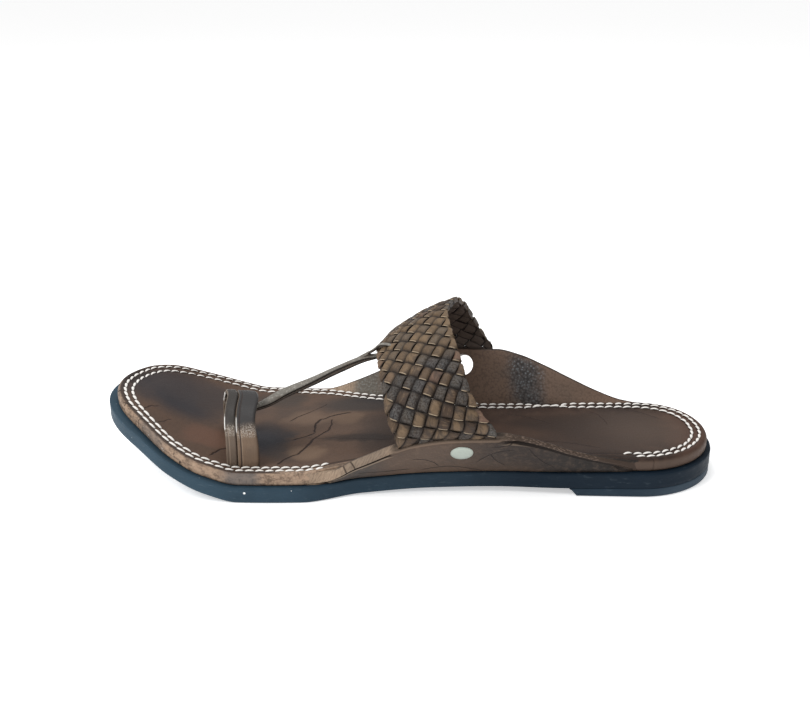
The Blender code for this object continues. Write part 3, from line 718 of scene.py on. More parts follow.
def flapFinish(name, outer):
    finish = Finish(name, flaps["colours"], Specular_IOR_Level=0.14)
    at = finish.place()
    x, drop, out = finish.parts(finish.kept("flap"))
    wide = finish.noise(at, 22)
    fine = finish.noise(at, 3.0, detail=6, rough=0.65)
    pebbles = finish.cells(at, 1.15)
    wobble = (finish.noise(at, 6) - 0.5) * 3.0
    if outer:
        pebbled = outerFace(finish, x, drop, wide)
    else:
        pebbled = innerFace(finish, x, drop, wide, pebbles)
    finish.over(fine.rising(0.45, 0.75) * 0.25, "rubbed")
    rim = drop.falling(1.1, 1.7) * out.rising(0.2, 0.9) * out.falling(4.6, 5.0)
    rim = rim.most(x.falling(-34, -28) * out.falling(0.6, 1.6))
    finish.over(rim * 0.92, turnedRim(finish, x, drop, out))
    if not outer:
        finish.over(drop.falling(0.5, 1.2) * out.falling(1.4, 2.2) * 0.8, "innerEdge")
    creases = 0.0
    for place, slant, wavy in flaps["creases"]:
        line = abs(x - place - out * slant + wobble * wavy).falling(0.12, 0.5)
        creases = line.most(creases)
    creases = creases * rim
    finish.over(creases * 0.85, "crease")
    held, outside = pocketShade(x), out.rising(2.0, 2.6)
    loose = outside * (1 - held)
    # painted shade in the groove below the rim, which the bump also cuts
    groove = drop.near(1.75, 0.18, 0.3) * loose * x.rising(-41, -33)
    finish.over(groove * 0.9, "groove")
    finish.over(drop.near(2.45, 0.12, 0.3) * loose * x.falling(40, 56) * 0.6, "lip")
    finish.over(drop.near(0.5, 0.15, 0.4) * outside * held * 0.45, "cover")
    cracks = 0.0
    if outer:
        cracks = crackLines(x, drop, wobble * 0.35, flaps["cracks"])
        finish.over(cracks * 0.8, "crack")
    creased = finish.noise(at, 1.2, detail=5, rough=0.6)
    height = creased * 0.8 - pebbles * pebbled * 1.4 - groove * 2.0 - creases * 1.4 - cracks * 2.0
    return finish.close(0.4 + 0.2 * fine + 0.1 * rim, height, 0.24, 0.6)


# the footbed
bed = {
    "thick": 6.0, "margin": 2.05, "dish": 0.8, "across": 96,
    "toeMargin": 1.9, "toeReach": {-1: (-95.0, -128.0), 1: (-131.0, -141.0)},
    "outerRow": 5.6, "innerRow": 8.9, "swapFrom": 52.0, "swapTo": 78.0,
    "stitch": 4.4, "stitchLong": 4.25, "stitchWide": 1.0, "stitchProud": 0.5, "slant": 9.0,
    "sewnFrom": ((100, -35), (93, -35)), "sewnTo": ((-32, -45), (-25, -45)), "swapDepth": 0.55,
    "edge": (  # inset, further inset away from the flaps, rise and whether it is from the top
        (0.0, 0.8, 0.12, 0), (0.0, 0.1, 0.7, 0), (0.0, 0.0, 1.8, 0), (0.0, 0.0, -2.3, 1),
        (0.0, 0.12, -1.5, 1), (0.2, 0.3, -0.75, 1), (0.6, 0.5, -0.25, 1), (1.3, 0.5, -0.04, 1),
        (2.3, 0.4, 0.0, 1),
    ),
    "presses": (  # the foot's: middle and reach along, middle and reach across, depth
        (108, 22, 0, 19, 0.7), (-52, 20, -4, 30, 0.45), (-98, 11, -22, 9, 0.55),
    ),
    "fades": ((-30, 40, 1, "middle"), (60, 100, 0.8, "heel"), (112, 127, 0.8, "heelEnd")),
    "stitchTall": 0.42, "stitchSunk": 0.2, "stitchSpread": (0.94, 1.05), "askew": 2.5, "stray": 0.08,
    "colours": {
        "thread": (250, 247, 242), "threadShade": (200, 193, 184), "toe": (88, 70, 59),
        "middle": (56, 41, 35), "heel": (41, 31, 27), "heelEnd": (82, 60, 50),
        "rubbed": (104, 82, 68), "grain": (50, 42, 38), "tan": (104, 88, 76),
        "tanWorn": (168, 143, 122), "tanPale": (184, 162, 140), "tanGrey": (96, 94, 94),
        "edgeLine": (52, 47, 46), "side": (100, 84, 74), "foot": (58, 49, 44),
        "crease": (50, 42, 38), "scuff": (214, 212, 208), "stitchGrooveShade": (40, 33, 30),
        "crack": (33, 22, 20),
    },
    "stainsAndSheen": (  # middle x and y, half sizes, share and colour; the bluish grey patches are painted sky reflection, the others stains
        (-112, 6, 24, 22, 0.9, (44, 46, 52)),
        (-98, 22, 26, 14, 0.7, (50, 48, 52)),
        (-92, -20, 13, 10, 0.6, (110, 80, 66)),
        (-94, 16, 10, 16, 0.6, (54, 49, 49)),
        (-66, 34, 12, 10, 0.8, (52, 50, 48)),
        (-66, -10, 13, 22, 0.95, (44, 45, 50)),
        (-56, -24, 12, 12, 0.5, (66, 58, 55)),
        (-24, 30, 26, 11, 0.9, (42, 43, 45)),
        (-58, 20, 14, 10, 0.45, (52, 49, 48)),
        (-49, 15, 11, 9, 0.75, (118, 96, 79)),
        (-33, 14, 8, 9, 0.7, (116, 94, 76)),
        (-47, -24, 9, 9, 0.65, (122, 100, 82)),
        (-24, -9, 20, 5, 0.7, (38, 35, 34)),
        (-12, -2, 18, 26, 0.7, (52, 46, 44)),
        (82, 0, 36, 20, 0.6, (38, 27, 23)),
        (44, -4, 22, 12, 0.35, (92, 68, 54)),
        (74, 6, 26, 10, 0.5, (40, 32, 30)),
        (80, -20, 26, 8, 0.5, (44, 36, 33)),
        (104, 6, 14, 14, 0.45, (38, 30, 29)),
        (92, 2, 30, 22, 0.5, (34, 26, 24)),
    ),
    "cracks": (  # two ends, bow, half width and strength
        (((-55, -11), (-45.5, -2)), -0.6, 0.75, 1.0), (((-46, -3), (-44, 14)), 1.2, 0.8, 1.0),
        (((-44.5, 12), (-30, 20)), 1.4, 0.75, 1.0), (((-58, -37), (-50.5, -25)), 0.8, 0.75, 1.0),
        (((-51.5, -27), (-45.5, -10)), -0.8, 0.75, 1.0), (((-46.5, -13), (-39.5, 0)), 0.7, 0.7, 1.0),
        (((-40, -2), (-39, 13)), -1.0, 0.6, 0.9), (((-59, 9), (-50, 22)), 0.7, 0.6, 0.8),
        (((-51, 21), (-44, 31)), -0.7, 0.45, 0.7), (((-88, -37), (-83, -24)), 0.6, 0.55, 0.9),
        (((-121, -21), (-116, -12)), 0.5, 0.45, 0.7), (((-113, -27), (-109, -18)), 0.5, 0.45, 0.6),
        (((-52, -8), (-6, -12)), 0.6, 0.45, 0.45), (((-130, -21), (-124, -24)), 0.3, 0.4, 0.8),
        (((-123, -34), (-117, -30)), 0.4, 0.4, 0.7), (((44, 16), (66, 4)), 2.0, 0.45, 0.5),
        (((84, 20), (92, 4)), 2.0, 0.45, 0.5), (((100, 22), (118, 12)), 2.0, 0.45, 0.5),
        (((54, -14), (88, -22)), 2.5, 0.5, 0.6), (((96, -24), (108, -34)), 1.0, 0.45, 0.6),
    ),
}


def bedHeight(x, away):
    dish = bed["dish"] * (0.5 * ease(away, 3.5, 8.0) + 0.5 * ease(away, 8.0, 16.0))
    return soleTop(x) + bed["thick"] - dish


def distances(ring, spot):
    return np.hypot(*(ring - np.asarray(spot[:2])).T)


def fromOutline(ring, spots):  # how far each place is from the sole's outline
    return np.array([np.min(distances(ring, spot)) for spot in spots])


def makeBed():
    xs = stations()
    ring = outlineRing(xs)

    def allRound(rule):  # a rule for the two sides, once round the outline
        near, far = (rule(side, xs, flaps["delay"]) for side in (-1, 1))
        return np.concatenate([near, far[-2:0:-1]])

    wall, free = allRound(bedWall), 1 - allRound(flapShare)
    rings = []
    for inset, further, rise, fromTop in bed["edge"]:
        moved = insetRing(ring, wall + (inset + free * further))
        rings.append(np.c_[moved, soleTop(moved[:, 0]) + (rise + bed["thick"] * fromTop)])
    count = len(ring)
    points, faces = stackRings(rings, ladder(count))
    half = count // 2
    faces = faces[:count * (len(rings) - 1)]
    for k in range(half):  # the underside
        faces.append(tuple(dict.fromkeys((k, k + 1, (count - k - 1) % count, (count - k) % count))))
    rim = (len(rings) - 1) * count
    near = points[rim:rim + half + 1][1:-1, None, :]
    far = points[rim + half:rim + count][::-1][:-1, None, :]
    shares = np.linspace(0, 1, bed["across"] + 1)[1:-1][None, :, None]
    flat = (near * (1 - shares) + far * shares).reshape(-1, 3)
    pressed = mounds(0.0, flat[:, 0], flat[:, 1], bed["presses"])
    flat[:, 2] = bedHeight(flat[:, 0], fromOutline(ring, flat)) - pressed
    start = len(points)
    points = np.vstack([points, flat])
    columns = bed["across"] - 1

    def at(k, c):  # a point of the top: rung k from the toe, column c from the near side
        if c == 0 or k in (0, half):
            return rim + k
        if c == columns + 1:
            return rim + (count - k) % count
        return start + (k - 1) * columns + c - 1

    for k in range(half):
        for c in range(columns + 1):
            face = tuple(dict.fromkeys((at(k, c), at(k + 1, c), at(k + 1, c + 1), at(k, c + 1))))
            if len(face) > 2:
                faces.append(face)
    piece = makePiece("bedLeather", (points, faces), bedFinish(), ["footbed"])
    spots = pointsOf(piece)
    x, y, z = spots.T
    reach = fromOutline(ring, spots) - np.where(y > 0, toeMargin(1, x), toeMargin(-1, x))
    keepValues(piece, "bed", np.c_[x, reach, z - soleTop(x)])


def rowInset(x, far, which):  # the two rows draw together and cross for a stretch, far side
    outer, inner = bed["outerRow"], bed["innerRow"]
    swap = np.where(far, ease(x, bed["swapFrom"], bed["swapTo"]), 0.0)
    start, end = (outer, inner) if which == 0 else (inner, outer)
    toe = np.where(far, toeMargin(1, x), toeMargin(-1, x))
    return start + (end - start) * 4 * swap * (1 - swap) * bed["swapDepth"] + toe


def sewStitch(ends, inset):  # one thread, lying a little askew
    along = unit(ends[1] - ends[0])
    aside = np.array([-along[1], along[0]])
    angle = math.radians(bed["slant"] + rng.normal(0, bed["askew"]))
    turned = along * math.cos(angle) + aside * math.sin(angle)
    beside = aside * math.cos(angle) - along * math.sin(angle)
    centre = (ends[0] + ends[1]) / 2 + beside * rng.normal(0, bed["stray"])
    length = bed["stitchLong"] / 2 * rng.uniform(*bed["stitchSpread"])
    around = np.linspace(0, 2 * math.pi, 9)[:-1]
    rows = []
    for s in np.linspace(-1, 1, 9):
        spot = centre + turned * s * length
        plump = (1 - abs(s) ** 3.5) * 0.5 + 0.12
        base = bedHeight(spot[0], inset) - bed["stitchSunk"] + bed["stitchProud"] * (1 - s * s)
        wide, tall = bed["stitchWide"] * plump, bed["stitchTall"] * (plump + 0.2)
        row = [(*(spot + beside * wide * math.cos(a)), base + tall * math.sin(a)) for a in around]
        rows.append(row)
    return tube(np.array(rows))


def makeStitches():
    finish = Finish("thread", bed["colours"])
    strands = finish.noise(finish.place(), 0.45, detail=2)
    finish.shade = finish.mix(strands * 0.5, "thread", "threadShade")
    finish.close(0.75, strands, 0.15, 0.6)
    ring = outlineRing(stations())
    parts = []
    for which in (0, 1):
        first = int(np.argmin(distances(ring, bed["sewnFrom"][which])))
        order = np.roll(np.arange(len(ring)), -first)
        last = int(np.argmin(distances(ring[order], bed["sewnTo"][which])))
        order = order[:last + 1]
        inset = rowInset(ring[:, 0], ring[:, 1] > 0, which)
        line = insetRing(ring, inset)[order]
        run = runAlong(line)
        for k in range(int(run[-1] / bed["stitch"])):
            middle = (k + 0.5 + 0.5 * which) * bed["stitch"]
            if middle > run[-1] - 3:
                continue
            ends = []
            for s in (-1.5, 1.5):
                ends.append(np.array([np.interp(middle + s, run, line[:, a]) for a in (0, 1)]))
            parts.append(sewStitch(ends, float(np.interp(middle, run, inset[order]))))
    makePiece("bedStitches", together(parts), finish)


def bedEdge(finish, x, y, edge, rise, fine):  # the near side's rubbed edge, and how far it reaches
    nearSide = (y.falling(-10, 14) * x.falling(-20, 40) + x.falling(-135, -122) * 0.6).least(1.0)
    wearAndHighlight = finish.noise(finish.joined(x, y, rise * 1.6), 3.6, detail=6, rough=0.75)
    tan = finish.mix(wearAndHighlight.rising(0.35, 0.6), "tan", "tanWorn")
    tan = finish.mix(fine.rising(0.5, 0.7) * 0.45, tan, "tanPale")
    greyed = x.near(-72, 4, 7).most(x.near(-113, 2, 8) * 0.7).most(x.falling(-136, -128) * 0.6)
    tan = finish.mix(greyed * 0.75, tan, "tanGrey")
    joint = x.near(-38, 14, 8) * y.falling(-20, -10)
    rim = edge.falling(2.9, 3.7).most(edge.falling(6.4, 8.0) * joint) * nearSide
    finish.over(edge.near(4.0, 0.4, 0.9) * nearSide * (1 - joint) * 0.5, "edgeLine")
    finish.over(rim * 0.92, tan)
    return nearSide


def bedFinish():
    finish = Finish("bedLeather", bed["colours"], Specular_IOR_Level=0.13)
    at = finish.place()
    y = finish.parts(at)[1]
    x, edge, rise = finish.parts(finish.kept("bed"))
    wide = finish.noise(at, 26)
    middle = finish.noise(at, 7, detail=5, rough=0.6)
    fine = finish.noise(at, 1.6, detail=6, rough=0.65)
    finish.shade = "toe"
    finish.fades(x, bed["fades"])
    finish.over(middle.rising(0.35, 0.75) * 0.3, "rubbed")
    finish.over(fine.rising(0.4, 0.8) * 0.25, "grain")
    warp = (wide - 0.5) * 22 + (middle - 0.5) * 8
    warpedX, warpedY = x + warp, y + warp * 0.5
    # stains, and bluish patches that are painted sky reflection
    for cx, cy, rx, ry, share, colour in bed["stainsAndSheen"]:
        patch = oval(warpedX, warpedY, cx, cy, rx, ry).falling(0.1, 1.3)
        finish.over(patch * share, paint(*colour))
    nearSide = bedEdge(finish, x, y, edge, rise, fine)
    finish.over(rise.falling(4.2, 5.8) * (1 - nearSide) * 0.6, "side")
    finish.over(rise.falling(0.4, 1.5) * 0.6, "foot")
    creases = finish.noise(finish.joined(x, y, rise * 0.3), 2.0, detail=4, rough=0.6, warp=0.6)
    creased = creases.rising(0.6, 0.68) * edge.falling(3.8, 5.2)
    creased = creased * (0.5 * x.falling(60, 90) + x.falling(-100, -90))
    finish.over(creased * 0.7, "crease")
    scuffed = finish.noise(at, 1.1).rising(0.66, 0.72)
    finish.over(scuffed * x.near(-113, 5, 5) * edge.falling(3.6, 4.4), "scuff")
    # painted shade in the grooves along the two stitch rows, which the bump also sinks
    stitchGrooveShade = edge.near(bed["outerRow"], 0.35, 0.7).most(edge.near(bed["innerRow"], 0.35, 0.7))
    finish.over(stitchGrooveShade * 0.6, "stitchGrooveShade")
    wobble = (finish.noise(at, 9, detail=4, rough=0.6) - 0.5) * 3.6
    cracks = crackLines(x, y, wobble, bed["cracks"])
    finish.over(cracks * 0.9, "crack")
    grain = finish.cells(at, 0.9)
    height = fine * 0.8 - grain * 0.3 - cracks * 2.4 - stitchGrooveShade * 1.6 - creased * 1.2 + middle * 1.2
    return finish.close(0.4 + 0.2 * middle + 0.08 * fine, height, 0.22, 0.6)


# the plaited band
band = {
    "columns": ("frontX", "frontY", "frontZ", "rearX", "rearY", "rearZ"),
    "rows": (
        (-5.3, -48.8, 34.0, 36.8, -48.3, 38.0),
        (-8.2, -46.5, 40.5, 31.9, -47.5, 44.0),
        (-9.8, -40.0, 46.8, 26.6, -43.0, 52.3),
        (-11.7, -30.0, 51.0, 22.6, -32.0, 62.0),
        (-14.0, -16.0, 53.6, 18.2, -17.0, 70.0),
        (-15.4, 0.0, 54.2, 16.1, 0.0, 73.4),
        (-12.5, 16.0, 53.7, 19.2, 17.0, 73.0),
        (-11.0, 29.0, 51.7, 23.8, 31.0, 66.6),
        (-9.0, 40.0, 47.6, 27.6, 39.0, 58.2),
        (-6.5, 47.5, 42.4, 30.8, 44.0, 51.2),
        (-4.5, 51.0, 36.5, 34.5, 45.6, 44.5),
    ),
    "bulge": 2.2, "along": 36, "across": 9, "fine": 12, "sink": 0.5,
    "stripHalf": 0.955, "stripThick": 1.15, "weave": 0.74, "samples": 84,
    "loop": 0.42, "loopCut": 0.72, "foldStep": 3.9,  # how far a fold stands out, less at its sides
    "slant": ((0, 0.6), (6, 0.5), (11, 0.3), (16, 0.12), (24, 0.0), (36, 0.0)),  # steps along, lean
    "weaveSharp": 2.3, "weaveLow": 0.22, "flatEnds": 0.16, "pulledEnds": 0.14, "greyShare": 0.12,
    "foldSpread": (0.7, 1.35), "uneven": 0.03, "wander": 0.05, "wanderTurn": 1.3, "tilt": 0.09,
    "levelSpread": (0.85, 0.3),  # least height over a crossing, and what chance adds
    "settles": (0.6, 2.2), "heldRise": 0.35, "heldThick": 0.7,  # steps from a flap, and there
    "crownTop": 0.5, "crownBelow": 0.3, "past": 0.1,
    "greyAround": (  # dark grey crossings: middle and reach along, then across, and chance
        (10.5, 4.0, 4.0, 9.0, 0.45), (4.5, 1.6, 8.0, 1.4, 0.9), (1.5, 2.0, 0.5, 1.5, 0.6),
    ),
    "colours": {
        "dark": (68, 54, 44), "tan": (110, 91, 71), "red": (106, 83, 70), "blotch": (54, 47, 43),
        "streak": (136, 115, 92), "greyDark": (34, 34, 35), "grey": (84, 84, 83),
        "crestPale": (132, 110, 84), "speckle": (34, 29, 27), "under": (28, 23, 21),
        "side": (34, 28, 25), "backDark": (74, 65, 60), "back": (104, 90, 80),
        "backEdgeShade": (26, 22, 21), "outline": (36, 30, 27), "cut": (188, 168, 142),
    },
}


def seatMiddle():  # how far out the band's middle layer stands in a flap
    return flaps["seatWall"] + flaps["clear"] + flaps["seatThick"]


def bandEdge(which, xAtFlap):
    first = band["columns"].index(which + "X")
    table = [row[first:first + 3] for row in band["rows"]]
    medial = [onFlap(-1, xAtFlap, drop, seatMiddle()) for drop in (flaps["seatDepth"], -1.0)]
    lateral = [onFlap(1, xAtFlap, drop, seatMiddle()) for drop in (-1.0, flaps["seatDepth"])]
    return np.array([*medial, *table, *lateral], float)


def bandGrid():
    along, across = band["along"] * band["fine"], band["across"] * band["fine"]
    shares, widths = np.linspace(0, 1, along + 1), np.linspace(0, 1, across + 1)
    front = evenly(bandEdge("front", flaps["seatFront"]), shares)[:, None, :]
    rear = evenly(bandEdge("rear", flaps["seatRear"]), shares)[:, None, :]
    grid = front * (1 - widths)[None, :, None] + rear * widths[None, :, None]
    ends = band["flatEnds"]
    away = np.clip(shares / ends, 0, 1) * np.clip((1 - shares) / ends, 0, 1)
    bulge = band["bulge"] * away[:, None] ** 2 * np.sin(math.pi * widths)[None, :] ** 0.75
    grid = grid + gridNormals(grid) * bulge[:, :, None]
    for side, end in ((-1, 0), (1, along)):
        seats = [onFlap(side, x, flaps["seatDepth"], seatMiddle()) for x in grid[end, :, 0]]
        pull = (1 - ease(abs(shares - shares[end]), 0, band["pulledEnds"]))[:, None, None]
        grid = grid + (np.array(seats) - grid[end])[None, :, :] * pull
    return grid, gridNormals(grid)


def gridNormals(grid):
    normals = unit(np.cross(np.gradient(grid, axis=1), np.gradient(grid, axis=0)))
    middle = normals[len(normals) // 2, normals.shape[1] // 2]
    return normals if middle[2] > 0 else -normals


def readGrid(grid, m, n):  # smooth place on the band: m steps along and n steps across
    i = np.clip(m * band["fine"], 0, grid.shape[0] - 1.001)
    j = np.clip(n * band["fine"], 0, grid.shape[1] - 1.001)
    a, b = i.astype(int), j.astype(int)
    s, t = (i - a)[..., None], (j - b)[..., None]
    low = grid[a, b] * (1 - t) + grid[a, b + 1] * t
    high = grid[a + 1, b] * (1 - t) + grid[a + 1, b + 1] * t
    return low * (1 - s) + high * s


def plaitCourse(v, edge):  # steps across the band along one strip, and how far its fold turns
    radius = band["weave"] / band["foldStep"]
    rows = [(edge + radius - radius * math.sin(a), a) for a in np.linspace(math.pi, 0, 8)[:-1]]
    for s in np.linspace(0, 1, band["samples"]):
        rows.append(((edge + radius) * (1 - s) + (band["across"] + 0.02) * s, 0.0))
    return np.array([n for n, a in rows]), np.array([a for n, a in rows])[:, None] * np.ones_like(v)


def plaitStrip(grid, normals, k, lean):  # one strip, from its fold at one edge to the other edge
    along, across, weave = band["along"], band["across"], band["weave"]
    v = np.linspace(-1, 1, 9)
    jitter = rng.normal(0, 1, 6)
    uneven, wander = band["uneven"], band["wander"]
    half = band["stripHalf"] * (1 + uneven * jitter[0])
    edge = -band["loop"] * rng.uniform(*band["foldSpread"]) + band["loopCut"] * abs(v) ** 2.2
    n, angle = plaitCourse(v, edge)
    vv = np.broadcast_to(v * half + uneven * jitter[1], n.shape)
    m = 2 * k + np.maximum(n, 0.0) + vv
    m = m + wander * np.sin(n * band["wanderTurn"] + jitter[2] * 3)
    crossing = np.clip(np.round((n + vv / 2) / 2), 0, across // 2 + 1).astype(int)
    tone, luck = rng.uniform(size=across), rng.uniform(size=across)
    atCross = np.arange(across) * 2.0
    placeN = atCross if lean > 0 else across - atCross
    chance = mounds(band["greyShare"], 2 * k + atCross, placeN, band["greyAround"])
    grey = np.where(luck < chance, 0.6 + 0.4 * tone, 0.0)
    m = m + (n - across / 2) * throughRows(*zip(*band["slant"]), m) * lean
    # over and under the strips it crosses
    level = np.cos(math.pi * (n + vv / 2)) - band["weaveLow"]
    level = np.tanh(band["weaveSharp"] * level)
    level = level + (1 - level) * (1 - ease(n, 0.1, 0.75))
    least, added = band["levelSpread"]
    height = weave * level * (least + added * luck[crossing]) + band["tilt"] * jitter[4] * vv
    if lean < 0:
        n = across - n
    spot, up = readGrid(grid, m, n), readGrid(normals, m, n)
    ahead = unit(readGrid(grid, m, n + 0.05 * lean) - readGrid(grid, m, n - 0.05 * lean))
    beyond = np.where(lean > 0, -n, n - across)
    held, free = band["settles"]
    flat = ease(m, held, free) * (1 - ease(m, along - free, along - held))  # 0 in the flaps
    spot = spot - ahead * (np.maximum(beyond, 0) * flat)[..., None] * band["foldStep"]
    rolled = unit(up * np.cos(angle)[..., None] - ahead * np.sin(angle)[..., None])
    offset = np.where(angle > 0, weave * np.cos(angle), height)
    offset = offset * (band["heldRise"] + (1 - band["heldRise"]) * flat)
    centre = spot + up * (offset - band["sink"])[..., None]
    thick = band["stripThick"] * (band["heldThick"] + (1 - band["heldThick"]) * flat) / 2
    top = centre + rolled * (thick * (1 - band["crownTop"] * abs(v) ** 4))[..., None]
    low = centre - rolled * (thick * (1 - band["crownBelow"] * abs(v) ** 4))[..., None]
    middle = len(v) // 2
    inside = (m[:, middle] > -band["past"]) & (m[:, middle] < along + band["past"])
    # what the finish reads: place along and across the strip, its look, and its crossing
    run = np.broadcast_to(runAlong(centre[:, middle])[:, None], n.shape)
    side = np.broadcast_to(v, n.shape)
    strip = np.stack([run, side * 2.6, np.full(n.shape, 10.0 * jitter[5])], axis=-1)
    look = np.stack([np.where(angle > 0, 0.6, level), abs(side), tone[crossing]], axis=-1)
    lookBelow = look * np.array([0, 1, 1]) - np.array([3.0, 0, 0])
    cell = np.stack([grey[crossing], np.full(n.shape, 1.0 if lean < 0 else 0.0), m], axis=-1)
    pairs = ((top, low), (strip, strip), (look, lookBelow), (cell, cell))
    section, *kept = [np.concatenate([a, b[:, ::-1]], axis=1)[inside] for a, b in pairs]
    return section, kept


def makeBand():
    grid, normals = bandGrid()
    parts, kept = [], []
    for k in range(-(band["across"] // 2) - 3, band["along"] // 2 + 4):
        for lean in (1, -1):
            section, values = plaitStrip(grid, normals, k if lean > 0 else k + 0.5, lean)
            if len(section) < 6:  # too short to be seen
                continue
            parts.append(tube(section))
            kept.append([value.reshape(-1, 3) for value in values])
    piece = makePiece("plaitedBand", together(parts), bandFinish(), ["instep_band"])
    for name, values in zip(("strip", "look", "cell"), zip(*kept)):
        keepValues(piece, name, np.vstack(values))


def bandFinish():
    finish = Finish("plaitedLeather", band["colours"], Specular_IOR_Level=0.2)
    at = finish.place()
    along, aside, tag = finish.parts(finish.kept("strip"))
    level, edge, tone = finish.parts(finish.kept("look"))
    grey, leftward, m = finish.parts(finish.kept("cell"))
    streaked = finish.joined(along * 0.35, aside * 1.5, tag)
    streaks = finish.noise(streaked, 1.1, detail=5, rough=0.65)
    blotch = finish.noise(finish.joined(along, aside, tag), 3.6, detail=4, rough=0.6)
    speckle = finish.noise(at, 0.8, rough=0.7)
    finish.shade = finish.mix(tone.rising(0.0, 0.8), "dark", "tan")
    finish.over(tone.rising(0.84, 0.92), "red")
    finish.over(blotch.rising(0.46, 0.62) * 0.65, "blotch")
    finish.over(streaks.rising(0.5, 0.75) * 0.5, "streak")
    finish.over(grey * 0.9, finish.mix(speckle.rising(0.4, 0.62), "greyDark", "grey"))
    # a paler stretch near the top of the band
    finish.over(m.near(15.5, 2.5, 3.0) * 0.35, "crestPale")
    finish.over(speckle.rising(0.55, 0.75) * 0.3, "speckle")
    # painted shade where each strip dives under the strip it crosses
    finish.over(level.falling(-0.5, 0.95) * 0.9, "under")
    # darker towards the sides of each strip: painted shade
    finish.over(edge.rising(0.45, 0.95) * 0.35, "side")
    inner = finish.mix(blotch, "backDark", "back")
    # painted shade towards the sides of the strips on the band's inner face
    inner = finish.mix(edge.rising(0.74, 0.9) * 0.7, inner, "backEdgeShade")
    finish.over(level.falling(-2.0, -1.5), inner)
    # painted shade along the edges of each strip, in the gaps between strips
    finish.over(edge.rising(0.88, 0.96) * 0.8, "outline")
    cutEdge = aside.falling(-2.42, -2.12) * level.rising(0.2, 0.7) * leftward
    finish.over(cutEdge * (0.3 + 0.6 * streaks), "cut")
    creased = finish.noise(finish.joined(along * 1.2, aside * 0.5, tag), 0.9, detail=5, rough=0.65)
    height = creased + streaks * 0.8 + speckle * 0.5
    return finish.close(0.42 + 0.24 * blotch, height, 0.28, 0.65)


# the toe ring
toeRing = {
    "columns": ("y", "rise", "shift", "trim"),
    "rows": (
        (-39.0, -2.0, 0.0, 0.0),
        (-39.0, 4.0, 0.1, 0.0),
        (-39.8, 11.0, 0.3, 0.1),
        (-39.4, 17.4, 0.0, 0.5),
        (-35.4, 21.8, -0.7, 0.8),
        (-28.6, 24.4, -1.4, 0.4),
        (-21.2, 25.1, -2.1, 0.3),
        (-13.5, 24.2, -4.2, 0.3),
        (-7.5, 20.6, -6.6, 0.2),
        (-4.4, 13.0, -8.1, 0.0),
        (-3.6, 5.0, -8.4, 0.0),
        (-3.6, -0.7, -8.4, 0.0),
    ),
    "thick": 1.9, "steps": 110, "across": 13,
    "colours": {
        "blotch": (96, 80, 67), "wearAndHighlight": (176, 168, 158), "edge": (150, 134, 118),
        "gleam": (244, 242, 238), "farEdgeShade": (48, 41, 37), "seam": (46, 34, 30),
        "seamPale": (170, 148, 128), "foot": (62, 52, 45),
    },
}
ringNarrow = {
    "name": "ringNarrow", "node": "toe_ring_narrow", "front": -79.8, "rear": -75.0,
    "trimmed": 0, "bead": 0.0, "seamAt": 1.2, "seam": 0.2,
    "colours": {"low": (98, 86, 75), "high": (54, 50, 47)},
}
ringWide = {
    "name": "ringWide", "node": "toe_ring_wide", "front": -74.7, "rear": -65.4,
    "trimmed": 1, "bead": 0.25, "seamAt": 1.7, "seam": 0.85,
    "colours": {"low": (120, 98, 79), "high": (52, 50, 50)},
}


def makeRing(ring):
    base = float(soleTop((ring["front"] + ring["rear"]) / 2)) + bed["thick"] - bed["dish"]
    rows = [(0.0, y, base + rise, shift, trim) for y, rise, shift, trim in toeRing["rows"]]
    path = evenly(rows, np.linspace(0, 1, toeRing["steps"] + 1))
    outward = np.cross(unit(np.gradient(path[:, :3], axis=0)), [1.0, 0, 0])
    if outward[len(outward) // 2][2] < 0:
        outward = -outward
    across = np.linspace(0.0, 1.0, toeRing["across"])
    upper = np.repeat([1, -1], len(across))
    across = np.concatenate([across, across[::-1]])
    rounding = 1 - np.clip(np.abs(across - 0.5) * 2 - 0.78, 0, 1) ** 2 * 14
    rise = toeRing["thick"] / 2 * np.clip(rounding, 0.25, 1) + 0.12 * np.sin(math.pi * across)
    rise = rise + ring["bead"] * np.exp(-((across - 0.06) / 0.07) ** 2)
    sections, kept = [], []
    for k, (_, y, z, shift, trim) in enumerate(path):
        front, rear = ring["front"] + shift, ring["rear"] + shift - trim * ring["trimmed"]
        wave = 0.12 * np.sin(k * 0.19 + across * 2.0)
        spot = np.c_[front + (rear - front) * across, np.full(len(across), y), np.full(len(across), z)]
        sections.append(spot + outward[k] * (upper * rise + wave)[:, None])
        share, width = np.full(len(across), k / toeRing["steps"]), np.full(len(across), rear - front)
        kept.append(np.c_[share, across * width, width])
    shape = tube(np.array(sections))
    piece = makePiece(ring["name"], shape, ringFinish(ring), [ring["node"]])
    keepValues(piece, "ring", np.vstack(kept))


